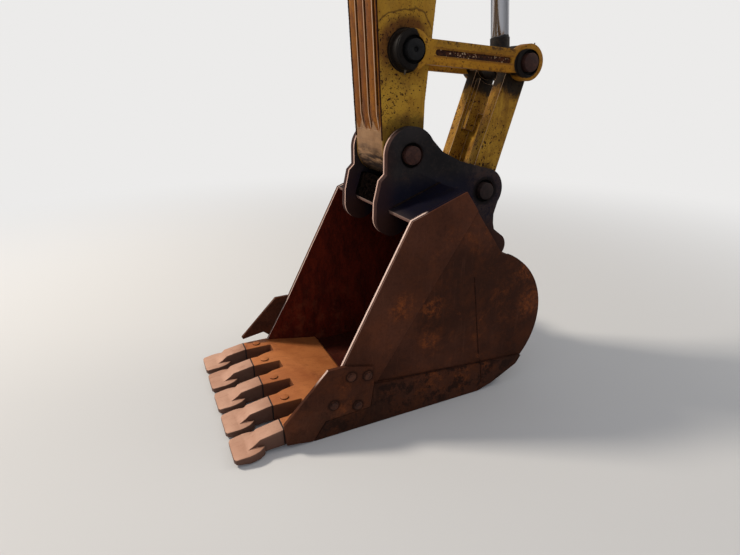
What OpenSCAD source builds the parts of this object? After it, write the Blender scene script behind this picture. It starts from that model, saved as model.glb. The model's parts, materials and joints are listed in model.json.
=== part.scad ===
// Stick of a 25 tonne excavator with its bucket, bucket cylinder and linkage.
// The origin is the bore that hangs the stick on the boom. X points away from
// the machine, Z points up and Y runs across. The stick hangs almost upright
// and the bucket stands flat. Outlines are drawn in the X-Z plane, measured
// from the bucket pin, and placed() moves them to the origin.

/* [Stick] */
// Height of the boom pivot above the bucket pin
stick_length = 2900; // [2600:10:3200]
// Distance of the boom pivot ahead of the bucket pin
boom_pivot_ahead = 130; // [110:5:150]
// Height of the tail pin above the boom pivot
tail_rise = 750; // [650:10:850]
// Distance of the tail pin behind the boom pivot
tail_back = 274; // [240:2:300]
// Width over the side plates
stick_w = 320; // [300:2:330]
// Thickness of the side plates
stick_side_t = 12; // [8:1:16]
// Thickness of the front and rear plates
stick_plate_t = 16; // [10:1:22]
// Radius of the rounded nose
nose_r = 125; // [115:1:130]
// Radius of the plates round the boom pivot
boom_eye_r = 155; // [140:1:170]
// Radius of the plates round the tail pin
tail_eye_r = 110; // [100:1:120]
// Bore for the boom pin
boom_bore_d = 100; // [80:1:120]
// Bore for the pin of the stick cylinder
tail_bore_d = 90; // [70:1:100]
// Gap of the tail fork that takes the stick cylinder
tail_gap = 120; // [100:2:140]
// Depth of the tail fork below the tail pin
fork_depth = 260; // [220:5:320]
// Width of one wear bar on the front plate
wear_bar_w = 66; // [50:1:80]
// Thickness of a wear bar
wear_bar_t = 12; // [8:1:16]
// Gap between two wear bars
wear_bar_gap = 24; // [14:1:30]

/* [Linkage] */
// Height of the side link pin above the bucket pin
link_pin_rise = 468; // [455:1:480]
// Distance of the side link pin ahead of the bucket pin
link_pin_ahead = 14; // [5:1:25]
// Side link between its pins
side_link_len = 680; // [670:1:690]
// H link between its pins
h_link_len = 670; // [660:1:680]
// Bucket pin to link pin on the bucket ears
ear_pin_span = 505; // [495:1:515]
// Fall of the line between the ear pins, in degrees
ear_pin_fall = 25.2; // [24:0.1:27]
// Diameter of all pins of the linkage
pin_d = 90; // [80:1:94]
// Thickness of a side link
side_link_t = 60; // [50:1:64]
// Radius of the side link ends
link_end_r = 88; // [82:1:92]
// Half height of the side link bar
link_bar_h = 54; // [46:1:60]
// Half height of the sunk panel in the side link
link_panel_h = 14; // [8:1:20]
// Radius of the recess round a pin end
recess_r = 60; // [54:1:62]
// Depth of the recess round a pin end
recess_deep = 20; // [12:1:24]

/* [Cylinder] */
// Height of the cylinder base pin above the bucket pin
cylinder_rise = 2550; // [2520:5:2580]
// Distance of the cylinder base pin behind the bucket pin
cylinder_back = 430; // [425:1:445]
// Outer diameter of the barrel
barrel_d = 155; // [145:1:165]
// Bore of the barrel
barrel_bore = 125; // [118:1:130]
// Barrel length from its base pin
barrel_len = 1400; // [1380:5:1440]
// Diameter of the chromed rod
rod_d = 95; // [85:1:100]
// Rod length from its eye to the piston face
rod_len = 1470; // [1460:5:1480]
// Width of the eyes of the cylinder
eye_w = 104; // [96:1:108]

/* [Bucket] */
// Width over the side plates
bucket_w = 914; // [860:2:980]
// Thickness of the side plates
side_t = 20; // [14:1:26]
// Thickness of the shell
shell_t = 20; // [14:1:26]
// Radius of the rounded heel
heel_r = 400; // [385:1:410]
// Distance of the heel centre behind the bucket pin
heel_back = 320; // [310:1:330]
// Depth of the base below the bucket pin
base_drop = 1284; // [1270:1:1300]
// Thickness of the wear straps under the base
strap_t = 12; // [8:1:16]
// Thickness of the bolted side cutters and wear plates
cutter_t = 20; // [14:1:26]
// Outer face of an ear from the centre plane
ear_out = 220; // [216:1:226]
// Thickness of an ear
ear_t = 45; // [36:1:46]

/* [Teeth] */
// Number of teeth
tooth_count = 5; // [3:1:6]
// Reach of the lip ahead of the bucket pin
lip_ahead = 642; // [625:1:655]
// Reach of the seam between adapters and teeth
seam_ahead = 796; // [780:2:810]
// Reach of the tooth tips
tip_ahead = 1040; // [1020:5:1060]
// Half width of the spade of a tooth
blade_half = 84; // [74:1:90]
// Half width of a tooth behind the flare
neck_half = 44; // [38:1:50]

/* [Hidden] */
$fn = 96;
// Clearance that lets a pin turn, on the diameter
running = 0.1;
// Side gap between pieces that swing past each other
swing_gap = 6;
// Gap under a plate that is welded on
seat = 0.05;
boom_pivot = [-boom_pivot_ahead, stick_length];
tail_pin = boom_pivot + [tail_back, tail_rise];
bucket_pin = [0, 0];
link_pin = [-link_pin_ahead, link_pin_rise];
ear_pin = ear_pin_span * [cos(ear_pin_fall), -sin(ear_pin_fall)];
base_pin = [cylinder_back, cylinder_rise];
common_pin = meet(link_pin, side_link_len, ear_pin, h_link_len);
cyl_len = norm(common_pin - base_pin);
cyl_dir = direction(base_pin, common_pin);
stick_half = stick_w / 2;
stick_in = stick_half - stick_side_t;
ear_in = ear_out - ear_t;
link_in = stick_half + 12;
link_out = link_in + side_link_t;
boss_out = link_out + 6;
pin_end = boss_out + 18;
eye_half = eye_w / 2;
eye_r = 85;
bucket_half = bucket_w / 2;
shell_half = bucket_half - side_t;
heel_mid = [heel_back, heel_r - base_drop];
mouth_top = [-128, -258];
ridge = [165, -148];
heel_start = 76;
shell_break = heel_mid + heel_r * [cos(heel_start), sin(heel_start)];
ground = -base_drop - strap_t;
tooth_pitch = (bucket_w - 2 * neck_half + 6) / (tooth_count - 1);
nose_boss_r = 100;

// Where circles of radius ra about a and rb about b meet, behind the line a-b
function meet(a, ra, b, rb) =
    let (d = norm(b - a), u = (b - a) / d, k = (ra * ra - rb * rb + d * d) / (2 * d))
    a + k * u + sqrt(ra * ra - k * k) * [-u.y, u.x];
function direction(a, b) = atan2(b.y - a.y, b.x - a.x);
function unit(v) = v / norm(v);
function left_of(a, b) = let (u = unit(b - a)) [-u.y, u.x];
function at_angle(c, r, a) = c + r * [cos(a), sin(a)];
function arc(c, r, a0, a1, steps = 8) =
    [for (i = [0:steps]) at_angle(c, r, a0 + (a1 - a0) * i / steps)];
// Where the line from a point touches a circle, on its front side
function touch_angle(c, r, from) = direction(c, from) - acos(r / norm(from - c));
function back(a, b, t) = a + t * unit(b - a);

// Moves a piece from the bucket pin to the origin at the boom pivot
module placed(tone) {
    color(tone) translate([-boom_pivot.x, 0, -boom_pivot.y]) children();
}

// Turns an outline into a plate that spans y0 to y1
module slab(y0, y1) {
    translate([0, y1, 0]) rotate([90, 0, 0]) linear_extrude(y1 - y0) children();
}

// The same plate at both sides of the centre plane
module both_slabs(y0, y1) {
    slab(y0, y1) children();
    slab(-y1, -y0) children();
}

// Round bar across the machine at a point of the X-Z plane
module bar(at, d, y0, y1) {
    translate([at.x, y1, at.y]) rotate([90, 0, 0]) cylinder(d = d, h = y1 - y0);
}

module disc(at, r) {
    translate(at) circle(r);
}

// Strip of thickness t at the left of the line a-b
module strip(a, b, t) {
    n = t * left_of(a, b);
    polygon([a, b, b + n, a + n]);
}

// Band of thickness t at the left of a path, with mitred corners
function inset(p, i) =
    let (
        last = len(p) - 1,
        a = left_of(p[max(i - 1, 0)], p[max(i, 1)]),
        b = left_of(p[min(i, last - 1)], p[min(i + 1, last)]))
    (a + b) / (1 + a * b);
module band(path, t) {
    polygon(concat(path, [for (i = [len(path) - 1:-1:0]) path[i] + t * inset(path, i)]));
}

// Outline round two circles and their outer tangents
module capsule(a, ra, b, rb) {
    w = acos((ra - rb) / norm(b - a));
    d = direction(a, b);
    polygon([
        at_angle(a, ra, d + w), at_angle(b, rb, d + w),
        at_angle(b, rb, d - w), at_angle(a, ra, d - w)]);
    disc(a, ra);
    disc(b, rb);
}

// Part of a ring between two angles
module ring_sector(c, r_in, r_out, a0, a1) {
    far = 2 * r_out;
    intersection() {
        difference() {
            disc(c, r_out);
            disc(c, r_in);
        }
        polygon(concat([c], arc(c, far, a0, a1, 4)));
    }
}

// Side view of the stick, from the nose up the front to the tail and back
// Straight edges end a little inside the round ends, so that they cross them
bite = 0.5;
wrist_front = [-nose_r - 35, 665];
front_foot = [bite - nose_r, 0];
crown_front = touch_angle(boom_pivot, boom_eye_r, wrist_front);
front_top = at_angle(boom_pivot, boom_eye_r, crown_front);
crown = direction(boom_pivot, tail_pin) + acos((boom_eye_r - tail_eye_r) / norm(tail_pin - boom_pivot));
crown_rear = at_angle(boom_pivot, boom_eye_r, crown);
nose_rear = at_angle(bucket_pin, nose_r - bite, 40);
throat = [98, 251];
wrist_rear = [141, 681];
root_rear = [300, cylinder_rise - 200];
heel_rear = [322, cylinder_rise + 400];
module stick_plate(y0, y1) {
    slab(y0, y1) polygon([
        front_foot, wrist_front, at_angle(boom_pivot, boom_eye_r - bite, crown_front),
        at_angle(boom_pivot, boom_eye_r - bite, crown),
        at_angle(tail_pin, tail_eye_r - bite, crown), tail_pin, tail_pin + [tail_eye_r - bite, 0],
        heel_rear, root_rear, wrist_rear, throat, nose_rear, [0, 0]]);
    bar(bucket_pin, 2 * nose_r, y0, y1);
    bar(boom_pivot, 2 * boom_eye_r, y0, y1);
    bar(tail_pin, 2 * tail_eye_r, y0, y1);
}

module stick_side(sign) {
    placed("goldenrod") difference() {
        stick_plate(sign > 0 ? stick_in : -stick_half, sign > 0 ? stick_half : -stick_in);
        bar(bucket_pin, 2 * nose_boss_r, -stick_w, stick_w);
        bar(link_pin, 2 * 78, -stick_w, stick_w);
        bar(boom_pivot, 2 * 120, -stick_w, stick_w);
        bar(tail_pin, 2 * 85, -stick_w, stick_w);
    }
}

module stick_side_left() {
    stick_side(1);
}

module stick_side_right() {
    stick_side(-1);
}

// Front plate, which wraps under the nose
module stick_front_plate() {
    placed("goldenrod") slab(-stick_in, stick_in) {
        ring_sector(bucket_pin, nose_r - stick_plate_t, nose_r, 175, 330);
        band(concat(
            [back(at_angle(tail_pin, tail_eye_r, crown), crown_rear, fork_depth)],
            arc(boom_pivot, boom_eye_r, crown, crown_front + 360, 5),
            [wrist_front, front_foot]), stick_plate_t);
    }
}

module stick_rear_plate() {
    placed("goldenrod") slab(-stick_in, stick_in) {
        band([
            nose_rear, throat, wrist_rear, root_rear, heel_rear,
            tail_pin + [tail_eye_r, -fork_depth]], stick_plate_t);
    }
}

// Three bars whose lower ends taper down to the front plate
module stick_wear_bars() {
    low = back(front_foot, wrist_front, 110);
    rise = back(front_foot, wrist_front, 190);
    top = back(wrist_front, front_top, 900);
    path = [rise, wrist_front, top];
    pitch = wear_bar_w + wear_bar_gap;
    placed("orange") translate([-seat, 0, 0]) for (i = [-1:1])
        slab(i * pitch - wear_bar_w / 2, i * pitch + wear_bar_w / 2)
            polygon(concat([low], path, [for (j = [2:-1:0]) path[j] + wear_bar_t * inset(path, j)]));
}

module tube(at, d_out, d_in, half) {
    difference() {
        bar(at, d_out, -half, half);
        bar(at, d_in, -half - 1, half + 1);
    }
}

module nose_boss() {
    placed("goldenrod") tube(bucket_pin, 2 * nose_boss_r, pin_d + running, ear_in - 3);
}

module link_boss() {
    placed("goldenrod") difference() {
        union() {
            bar(link_pin, 2 * 78, -stick_half - 8, stick_half + 8);
            for (s = [0, 1]) mirror([0, s, 0]) bar(link_pin, 2 * 92, stick_half, stick_half + 8);
        }
        bar(link_pin, pin_d, -stick_w, stick_w);
    }
}

module boom_boss() {
    placed("goldenrod") tube(boom_pivot, 2 * 120, boom_bore_d, stick_half + 15);
}

module tail_bosses() {
    placed("goldenrod") for (s = [0, 1]) mirror([0, s, 0]) difference() {
        bar(tail_pin, 2 * 85, tail_gap / 2, stick_half + 12);
        bar(tail_pin, tail_bore_d, tail_gap / 2 - 1, stick_half + 13);
    }
}

// Two plates that stand on the rear plate and carry the cylinder base
module cylinder_lugs() {
    placed("goldenrod") both_slabs(eye_half + 4, eye_half + 44) difference() {
        union() {
            disc(base_pin, eye_r + 5);
            polygon([
                back(root_rear, heel_rear, 90), back(root_rear, heel_rear, 480),
                base_pin + [60, 66], base_pin + [60, -66]]);
        }
        disc(base_pin, pin_d / 2);
    }
}

// Pin with a centre hole at each end
module drilled_pin(at, d, half) {
    difference() {
        bar(at, d, -half, half);
        for (s = [0, 1]) mirror([0, s, 0]) bar(at, d / 4, half - 12, half + 1);
    }
}

module link_pin_shaft() {
    placed("sienna") drilled_pin(link_pin, pin_d, pin_end);
}

module base_pin_shaft() {
    placed("sienna") drilled_pin(base_pin, pin_d, eye_half + 60);
}

// Bar with a sunk panel and a round boss at each end
module side_link(side) {
    u = unit(common_pin - link_pin);
    n = link_bar_h * left_of(link_pin, common_pin);
    a = link_pin + (link_end_r + 44) * u;
    b = common_pin - (link_end_r + 40) * u;
    placed("goldenrod") mirror([0, side, 0]) difference() {
        union() {
            slab(link_in, link_out) {
                polygon([link_pin - n, link_pin + n, common_pin + n, common_pin - n]);
                disc(link_pin, link_end_r);
                disc(common_pin, link_end_r);
            }
            bar(link_pin, 2 * link_end_r - 8, link_out, boss_out);
            bar(common_pin, 2 * link_end_r - 8, link_out, boss_out);
        }
        slab(link_out - 10, link_out + 1) capsule(a, link_panel_h, b, link_panel_h);
        bar(link_pin, pin_d + running, link_in - 1, boss_out + 1);
        bar(common_pin, pin_d, link_in - 1, boss_out + 1);
        for (p = [link_pin, common_pin])
            bar(p, 2 * recess_r, boss_out - recess_deep, boss_out + 1);
    }
}

module side_link_left() {
    side_link(0);
}

module side_link_right() {
    side_link(1);
}

// Outer ends of the pin that joins the links and the rod
module side_pin_ends() {
    placed("sienna") for (s = [0, 1]) mirror([0, s, 0]) bar(common_pin, pin_d, link_in, boss_out + 12);
}

h_arm_out = stick_half + 4;
h_arm_in = 95;
h_boss_in = eye_half + swing_gap;
h_half_w = 66;
// Two arms joined by a cross web, with cheeks cut out round the rod eye
module h_link() {
    u = unit(common_pin - ear_pin);
    n = left_of(ear_pin, common_pin);
    web_low = ear_pin + 60 * u;
    web_top = ear_pin + 400 * u;
    cheek = ear_pin + 300 * u;
    cheek_w = h_half_w - 18;
    placed("goldenrod") difference() {
        union() {
            both_slabs(h_arm_in, h_arm_out) {
                polygon([
                    ear_pin - 78 * n, ear_pin + 78 * n,
                    common_pin + h_half_w * n, common_pin - h_half_w * n]);
                disc(ear_pin, 92);
                disc(common_pin, link_end_r - 4);
            }
            for (s = [0, 1]) mirror([0, s, 0])
                bar(common_pin, 2 * link_end_r - 16, h_boss_in, h_arm_in + 5);
            bar(ear_pin, 2 * 86, -h_arm_in - 5, h_arm_in + 5);
            slab(-h_arm_in - 5, h_arm_in + 5)
                polygon([web_low - 50 * n, web_low - 10 * n, web_top - 10 * n, web_top - 50 * n]);
            both_slabs(eye_half + 10, h_arm_in + 5) difference() {
                polygon([
                    cheek - cheek_w * n, cheek + cheek_w * n,
                    common_pin + cheek_w * n, common_pin - cheek_w * n]);
                disc(common_pin, eye_r + 20);
            }
        }
        bar(ear_pin, pin_d + running, -stick_w, stick_w);
        bar(common_pin, pin_d, -stick_w, stick_w);
    }
}

module h_link_pin_ends() {
    placed("sienna") for (s = [0, 1]) mirror([0, s, 0]) bar(common_pin, pin_d, h_boss_in, h_arm_out);
}

// Places children on the cylinder, with +X from the base pin to the rod eye
module along_cylinder() {
    translate([base_pin.x, 0, base_pin.y]) rotate([0, -cyl_dir, 0]) children();
}

module round_x(d, x0, x1) {
    translate([x0, 0, 0]) rotate([0, 90, 0]) cylinder(d = d, h = x1 - x0);
}

module barrel() {
    placed("goldenrod") difference() {
        union() {
            bar(base_pin, 2 * eye_r, -eye_half, eye_half);
            along_cylinder() {
                round_x(eye_w - 4, 0, 140);
                round_x(barrel_d, 128, barrel_len);
                round_x(barrel_d + 24, barrel_len - 70, barrel_len);
            }
        }
        bar(base_pin, pin_d + running, -stick_w, stick_w);
        along_cylinder() {
            round_x(barrel_bore, 140, barrel_len - 60);
            round_x(rod_d + running, barrel_len - 61, barrel_len + 1);
        }
    }
}

// Feed pipe to the rod end, with the two capped hose ports
module barrel_ports() {
    pipe_z = barrel_d / 2 + 22;
    placed("dimgray") along_cylinder() difference() {
        union() {
            translate([0, 0, pipe_z]) round_x(28, 190, barrel_len - 100);
            for (x = [190, barrel_len - 130]) translate([x, -20, barrel_d / 2 - 6]) cube([44, 40, 44]);
        }
        round_x(barrel_d, 0, barrel_len);
    }
}

module rod() {
    placed("silver") along_cylinder() {
        round_x(rod_d, cyl_len - rod_len, cyl_len - eye_r + 4);
        round_x(barrel_bore - running, cyl_len - rod_len, cyl_len - rod_len + 70);
    }
}

module rod_eye() {
    placed("dimgray") difference() {
        union() {
            bar(common_pin, 2 * eye_r, -eye_half, eye_half);
            along_cylinder() round_x(rod_d + 8, cyl_len - eye_r - 45, cyl_len - eye_r + 20);
        }
        bar(common_pin, pin_d, -stick_w, stick_w);
        along_cylinder() round_x(rod_d, cyl_len - 200, cyl_len - eye_r + 4);
    }
}

module rod_eye_pin() {
    placed("sienna") bar(common_pin, pin_d, -eye_half, eye_half);
}

// Side plate from the mouth over the rounded heel to the lip
module bucket_plate(y0, y1) {
    slab(y0, y1) polygon([
        mouth_top, ridge, shell_break, heel_mid, at_angle(heel_mid, heel_r, -92),
        [-lip_ahead, -base_drop], from_lip(0, lip_h + 1), from_lip(152, 366)]);
    intersection() {
        bar(heel_mid, 2 * heel_r, y0, y1);
        slab(y0 - 1, y1 + 1)
            polygon(concat([heel_mid + [-150, 60]], arc(heel_mid, 2 * heel_r, -90, heel_start, 4)));
    }
}

module bucket_shell() {
    placed("saddlebrown") difference() {
        slab(-shell_half, shell_half) {
            band([shell_break, ridge, mouth_top], shell_t);
            ring_sector(heel_mid, heel_r - shell_t, heel_r, -90, heel_start);
            strip([lip_run - lip_ahead, -base_drop], [heel_mid.x, -base_drop], shell_t);
        }
        both_slabs(ear_in, ear_out) ear_outline();
    }
}

module bucket_side(side) {
    placed("saddlebrown") mirror([0, side, 0]) bucket_plate(shell_half, bucket_half);
}

module bucket_side_left() {
    bucket_side(0);
}

module bucket_side_right() {
    bucket_side(1);
}

hub_r = 135;
function roof_at(x) = ridge + (mouth_top - ridge) * (ridge.x - x) / (ridge.x - mouth_top.x);
ear_pin_r = 118;
lobe = [-100, -300];
lobe_r = 94;
tail = [560, -545];
tail_r = 75;
// Ear with both pin hubs, a notch at the front and a lobe round the mouth edge
module ear_outline() {
    difference() {
        union() {
            disc(bucket_pin, hub_r);
            disc(ear_pin, ear_pin_r);
            disc(lobe, lobe_r);
            disc(tail, tail_r);
            polygon([
                [-hub_r, 0], [-135, -86], [-166, -116], [-191, -221], lobe - [lobe_r, 0], lobe,
                lobe + [lobe_r, -10], [20, -200], ridge, shell_break, tail - [tail_r, 0], tail,
                at_angle(tail, tail_r - bite, 55), ear_pin + [89, -226], ear_pin + [79, -190],
                ear_pin + [76, -138], ear_pin + [ear_pin_r - bite, 0], ear_pin,
                ear_pin + [20, ear_pin_r - 2], [285, -46], [177, 8],
                at_angle(bucket_pin, hub_r - bite, 60), bucket_pin]);
        }
        // The plate ends on the outside of the shell behind its front edge
        polygon([[20, -330], roof_at(20), ridge, shell_break, [400, -700], [100, -600]]);
        disc(heel_mid, heel_r);
    }
}

module ear(side) {
    placed("darkslategray") mirror([0, side, 0]) difference() {
        slab(ear_in, ear_out) ear_outline();
        for (p = [bucket_pin, ear_pin]) {
            bar(p, pin_d, 0, stick_w);
            bar(p, 2 * recess_r, ear_out - recess_deep, stick_w);
        }
    }
}

module ear_left() {
    ear(0);
}

module ear_right() {
    ear(1);
}

guard_r = nose_r + 25;
guard_t = 16;
guard_start = 238;
// Curved guard between the ears, close round the nose of the stick
module hinge_guard() {
    roof_front = back(mouth_top, ridge, -200);
    roof_rear = back(ridge, mouth_top, -200);
    placed("darkslategray") slab(-ear_in, ear_in) difference() {
        union() {
            ring_sector(bucket_pin, guard_r, guard_r + guard_t, guard_start, guard_start + 56);
            strip(mouth_top + [10, 2], at_angle(bucket_pin, guard_r + 4, guard_start + 2), guard_t);
            strip(at_angle(bucket_pin, guard_r + 4, guard_start + 52), ridge - [60, 24], guard_t);
        }
        polygon([roof_front, roof_rear, roof_rear - [0, 400], roof_front - [0, 400]]);
    }
}

module bucket_pin_shaft() {
    placed("sienna") bar(bucket_pin, pin_d, -ear_out - 14, ear_out + 14);
}

module ear_pin_shaft() {
    placed("sienna") bar(ear_pin, pin_d, -ear_out - 20, ear_out + 20);
}

module lifting_eye() {
    eye = at_angle(heel_mid, heel_r + 50, 62);
    placed("saddlebrown") difference() {
        union() {
            bar(eye, 84, -16, 16);
            slab(-16, 16) polygon([
                at_angle(heel_mid, heel_r - 15, 74), at_angle(eye, 42, 120),
                at_angle(eye, 42, 4), at_angle(heel_mid, heel_r - 15, 50)]);
        }
        bar(eye, 48, -20, 20);
        bar(heel_mid, 2 * heel_r, -20, 20);
    }
}

module wear_straps() {
    placed("saddlebrown") for (y = [-300, 0, 300]) slab(y - 60, y + 60) {
        ring_sector(heel_mid, heel_r, heel_r + strap_t, -90, -20);
        strip([-440, ground], [heel_mid.x, ground], strap_t);
    }
}

// Points measured from the front of the lip or from the heel, above the ground
function from_lip(x, z) = [x - lip_ahead, ground + z];
function from_heel(x, z) = [heel_back + x, ground + z];
// Edge where the side cutter meets the doubling plate
cutter_root = [from_lip(157, 374), from_lip(310, 336), from_lip(310, 234)];

// Doubling plate along the front edge of a side plate
module side_bar(side) {
    placed("saddlebrown") mirror([0, side, 0]) slab(bucket_half, bucket_half + 8)
        polygon(concat(
            [mouth_top, ridge, ridge + [73, -101], from_lip(332, 234)],
            [for (i = [2:-1:0]) cutter_root[i]]));
}

module side_bar_left() {
    side_bar(0);
}

module side_bar_right() {
    side_bar(1);
}

module side_wear(side) {
    placed("saddlebrown") mirror([0, side, 0]) slab(bucket_half, bucket_half + cutter_t)
        polygon([
            from_lip(313, 234), from_lip(427, 221), from_lip(624, 206), from_heel(-32, 182),
            from_heel(133, 169), from_heel(292, 158), from_heel(261, 111), from_heel(98, 30),
            from_heel(0, 0), from_lip(-14, 0), from_lip(53, 95), from_lip(293, 105)]);
}

module side_wear_left() {
    side_wear(0);
}

module side_wear_right() {
    side_wear(1);
}

// Bolted cutter that ends in a point beside the corner tooth. A notched one
// stops above the corner adapter.
module side_cutter(side, notch) {
    low = notch
        ? [from_lip(-18, 156), from_lip(-148, 134), from_lip(-155, 146)]
        : [from_lip(-18, 2), from_lip(-148, 24), from_lip(-155, 136)];
    placed("saddlebrown") mirror([0, side, 0]) slab(bucket_half, bucket_half + cutter_t) difference() {
        polygon(concat(
            [from_lip(76, 373)], cutter_root, [from_lip(290, 108), from_lip(50, 98)], low));
        for (p = [from_lip(190, 311), from_lip(277, 295), from_lip(95, 177), from_lip(221, 139)])
            disc(p, 14);
    }
}

module side_cutter_left() {
    side_cutter(0, true);
}

module side_cutter_right() {
    side_cutter(1, false);
}

lip_h = 109;
lip_run = 160;
// Thick lip plate, sloping down into the bucket
module lip() {
    placed("chocolate") slab(-shell_half, shell_half)
        polygon([
            from_lip(0, lip_h), from_lip(-10, lip_h - 56), from_lip(lip_run, strap_t),
            from_lip(lip_run, strap_t + shell_t), from_lip(332, strap_t + shell_t),
            from_lip(312, strap_t + shell_t + 22)]);
}

function tooth_y(i) = (i - (tooth_count + 1) / 2) * tooth_pitch;

// One adapter: straight at one side, with a foot that spreads along the lip at
// the other
module adapter_plan() {
    polygon([
        [20 - lip_ahead, neck_half + 38], [-lip_ahead, neck_half + 38],
        [-lip_ahead - 70, neck_half + 22], [-lip_ahead - 108, neck_half + 3],
        [-seam_ahead, neck_half + 1], [-seam_ahead, -neck_half - 4],
        [20 - lip_ahead, -neck_half - 6]]);
}

module adapters() {
    placed("chocolate") for (i = [1:tooth_count]) intersection() {
        translate([0, tooth_y(i), ground]) linear_extrude(140) adapter_plan();
        slab(-bucket_half, bucket_half) difference() {
            polygon([
                [-seam_ahead, ground + lip_h], from_lip(0, lip_h), from_lip(0, 6),
                [-seam_ahead, ground + 18]]);
            polygon([
                from_lip(0, lip_h + 1), from_lip(0, lip_h), from_lip(-10, lip_h - 56),
                from_lip(lip_run, strap_t), bucket_pin]);
        }
    }
}

// Half outline of the spade from its tip to the barb, behind the tip
spade = [
    [0, blade_half - 20], [8, blade_half - 4], [70, blade_half + 3], [95, blade_half],
    [120, blade_half - 8], [136, blade_half - 20], [147, blade_half - 30],
    [110, neck_half - 2]];
function from_tip(x, z) = [x - tip_ahead, ground + z];

// Flat spade with two barbs that point back, below a narrow neck
module tooth(i) {
    right = [for (p = spade) [p.x - tip_ahead, p.y]];
    left = [for (j = [len(spade) - 1:-1:0]) [spade[j].x - tip_ahead, -spade[j].y]];
    if (i <= tooth_count) placed("rosybrown") translate([0, tooth_y(i), 0]) {
        intersection() {
            translate([0, 0, ground]) linear_extrude(140) polygon(concat(right, left));
            slab(-bucket_w, bucket_w) polygon([
                from_tip(0, 42), from_tip(60, 49), from_tip(150, 57),
                from_tip(150, 8), from_tip(60, 9), from_tip(0, 18)]);
        }
        slab(-neck_half, neck_half) polygon([
            [-seam_ahead, ground + lip_h], from_tip(128, 89), from_tip(106, 70),
            from_tip(84, 58), from_tip(50, 40), from_tip(50, 14), [-seam_ahead, ground + 18]]);
    }
}

stick_side_left();
stick_side_right();
stick_front_plate();
stick_rear_plate();
stick_wear_bars();
nose_boss();
link_boss();
boom_boss();
tail_bosses();
cylinder_lugs();
link_pin_shaft();
base_pin_shaft();
side_link_left();
side_link_right();
side_pin_ends();
h_link();
h_link_pin_ends();
barrel();
barrel_ports();
rod();
rod_eye();
rod_eye_pin();
bucket_shell();
bucket_side_left();
bucket_side_right();
ear_left();
ear_right();
hinge_guard();
bucket_pin_shaft();
ear_pin_shaft();
lifting_eye();
wear_straps();
side_bar_left();
side_bar_right();
side_wear_left();
side_wear_right();
side_cutter_left();
side_cutter_right();
lip();
adapters();
tooth(1);  // tooth_1
tooth(2);  // tooth_2
tooth(3);  // tooth_3
tooth(4);  // tooth_4
tooth(5);  // tooth_5
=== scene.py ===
import json
import math

import bmesh
import bpy
from mathutils import Matrix, Vector, noise
from mathutils.bvhtree import BVHTree


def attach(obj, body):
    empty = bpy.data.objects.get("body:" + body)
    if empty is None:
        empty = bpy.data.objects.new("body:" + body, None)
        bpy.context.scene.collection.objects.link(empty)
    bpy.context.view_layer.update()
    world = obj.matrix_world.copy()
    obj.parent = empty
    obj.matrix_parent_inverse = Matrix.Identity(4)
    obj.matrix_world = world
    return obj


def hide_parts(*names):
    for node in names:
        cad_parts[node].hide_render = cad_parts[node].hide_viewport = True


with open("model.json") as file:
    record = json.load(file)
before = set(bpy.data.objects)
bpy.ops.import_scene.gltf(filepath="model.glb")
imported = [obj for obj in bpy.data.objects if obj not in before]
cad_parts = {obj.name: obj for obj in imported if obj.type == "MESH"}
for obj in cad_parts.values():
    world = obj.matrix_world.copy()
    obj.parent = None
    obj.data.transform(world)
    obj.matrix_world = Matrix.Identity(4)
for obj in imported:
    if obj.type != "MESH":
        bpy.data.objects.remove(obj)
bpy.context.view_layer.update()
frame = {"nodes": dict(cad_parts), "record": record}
nodes = frame["nodes"]
print("frame loaded:", len(nodes), "nodes")

# Outlines are measured from the bucket pin, in metres, as in the CAD source
bucketPin = Vector((0.130, 0.0, -2.900))
linkPin = bucketPin + Vector((-0.014, 0, 0.468))
earPin = bucketPin + Vector((0.45694, 0, -0.21502))
commonPin = bucketPin + Vector((0.66444, 0, 0.42204))
basePin = bucketPin + Vector((0.430, 0, 2.550))
tailPin = Vector((0.274, 0, 0.750))
boomPivot = Vector((0, 0, 0))
groundZ = bucketPin.z - 1.296


def fromPin(x, z, y=0.0):
    return bucketPin + Vector((x, y, z))


# Shader maths: a socket that adds Math nodes when it is used in an expression
class Wire:
    def __init__(self, finish, socket):
        self.finish = finish
        self.socket = socket

    def maths(self, operation, *values):
        node = self.finish.node("ShaderNodeMath", {"operation": operation}, *values)
        return Wire(self.finish, node.outputs[0])

    def __add__(self, other):
        return self.maths("ADD", self, other)

    def __radd__(self, other):
        return self.maths("ADD", other, self)

    def __sub__(self, other):
        return self.maths("SUBTRACT", self, other)

    def __rsub__(self, other):
        return self.maths("SUBTRACT", other, self)

    def __mul__(self, other):
        return self.maths("MULTIPLY", self, other)

    def __rmul__(self, other):
        return self.maths("MULTIPLY", other, self)

    def most(self, other):
        return self.maths("MAXIMUM", self, other)

    def size(self):
        return self.maths("ABSOLUTE", self)

    def wave(self):
        return self.maths("SINE", self)

    def rise(self, low, high):  # 0 below low, 1 above high, smooth between
        settings = {"interpolation_type": "SMOOTHSTEP", "clamp": True}
        node = self.finish.node("ShaderNodeMapRange", settings, self, low, high, 0.0, 1.0)
        return Wire(self.finish, node.outputs[0])

    def fall(self, low, high):
        return 1.0 - self.rise(low, high)


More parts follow.
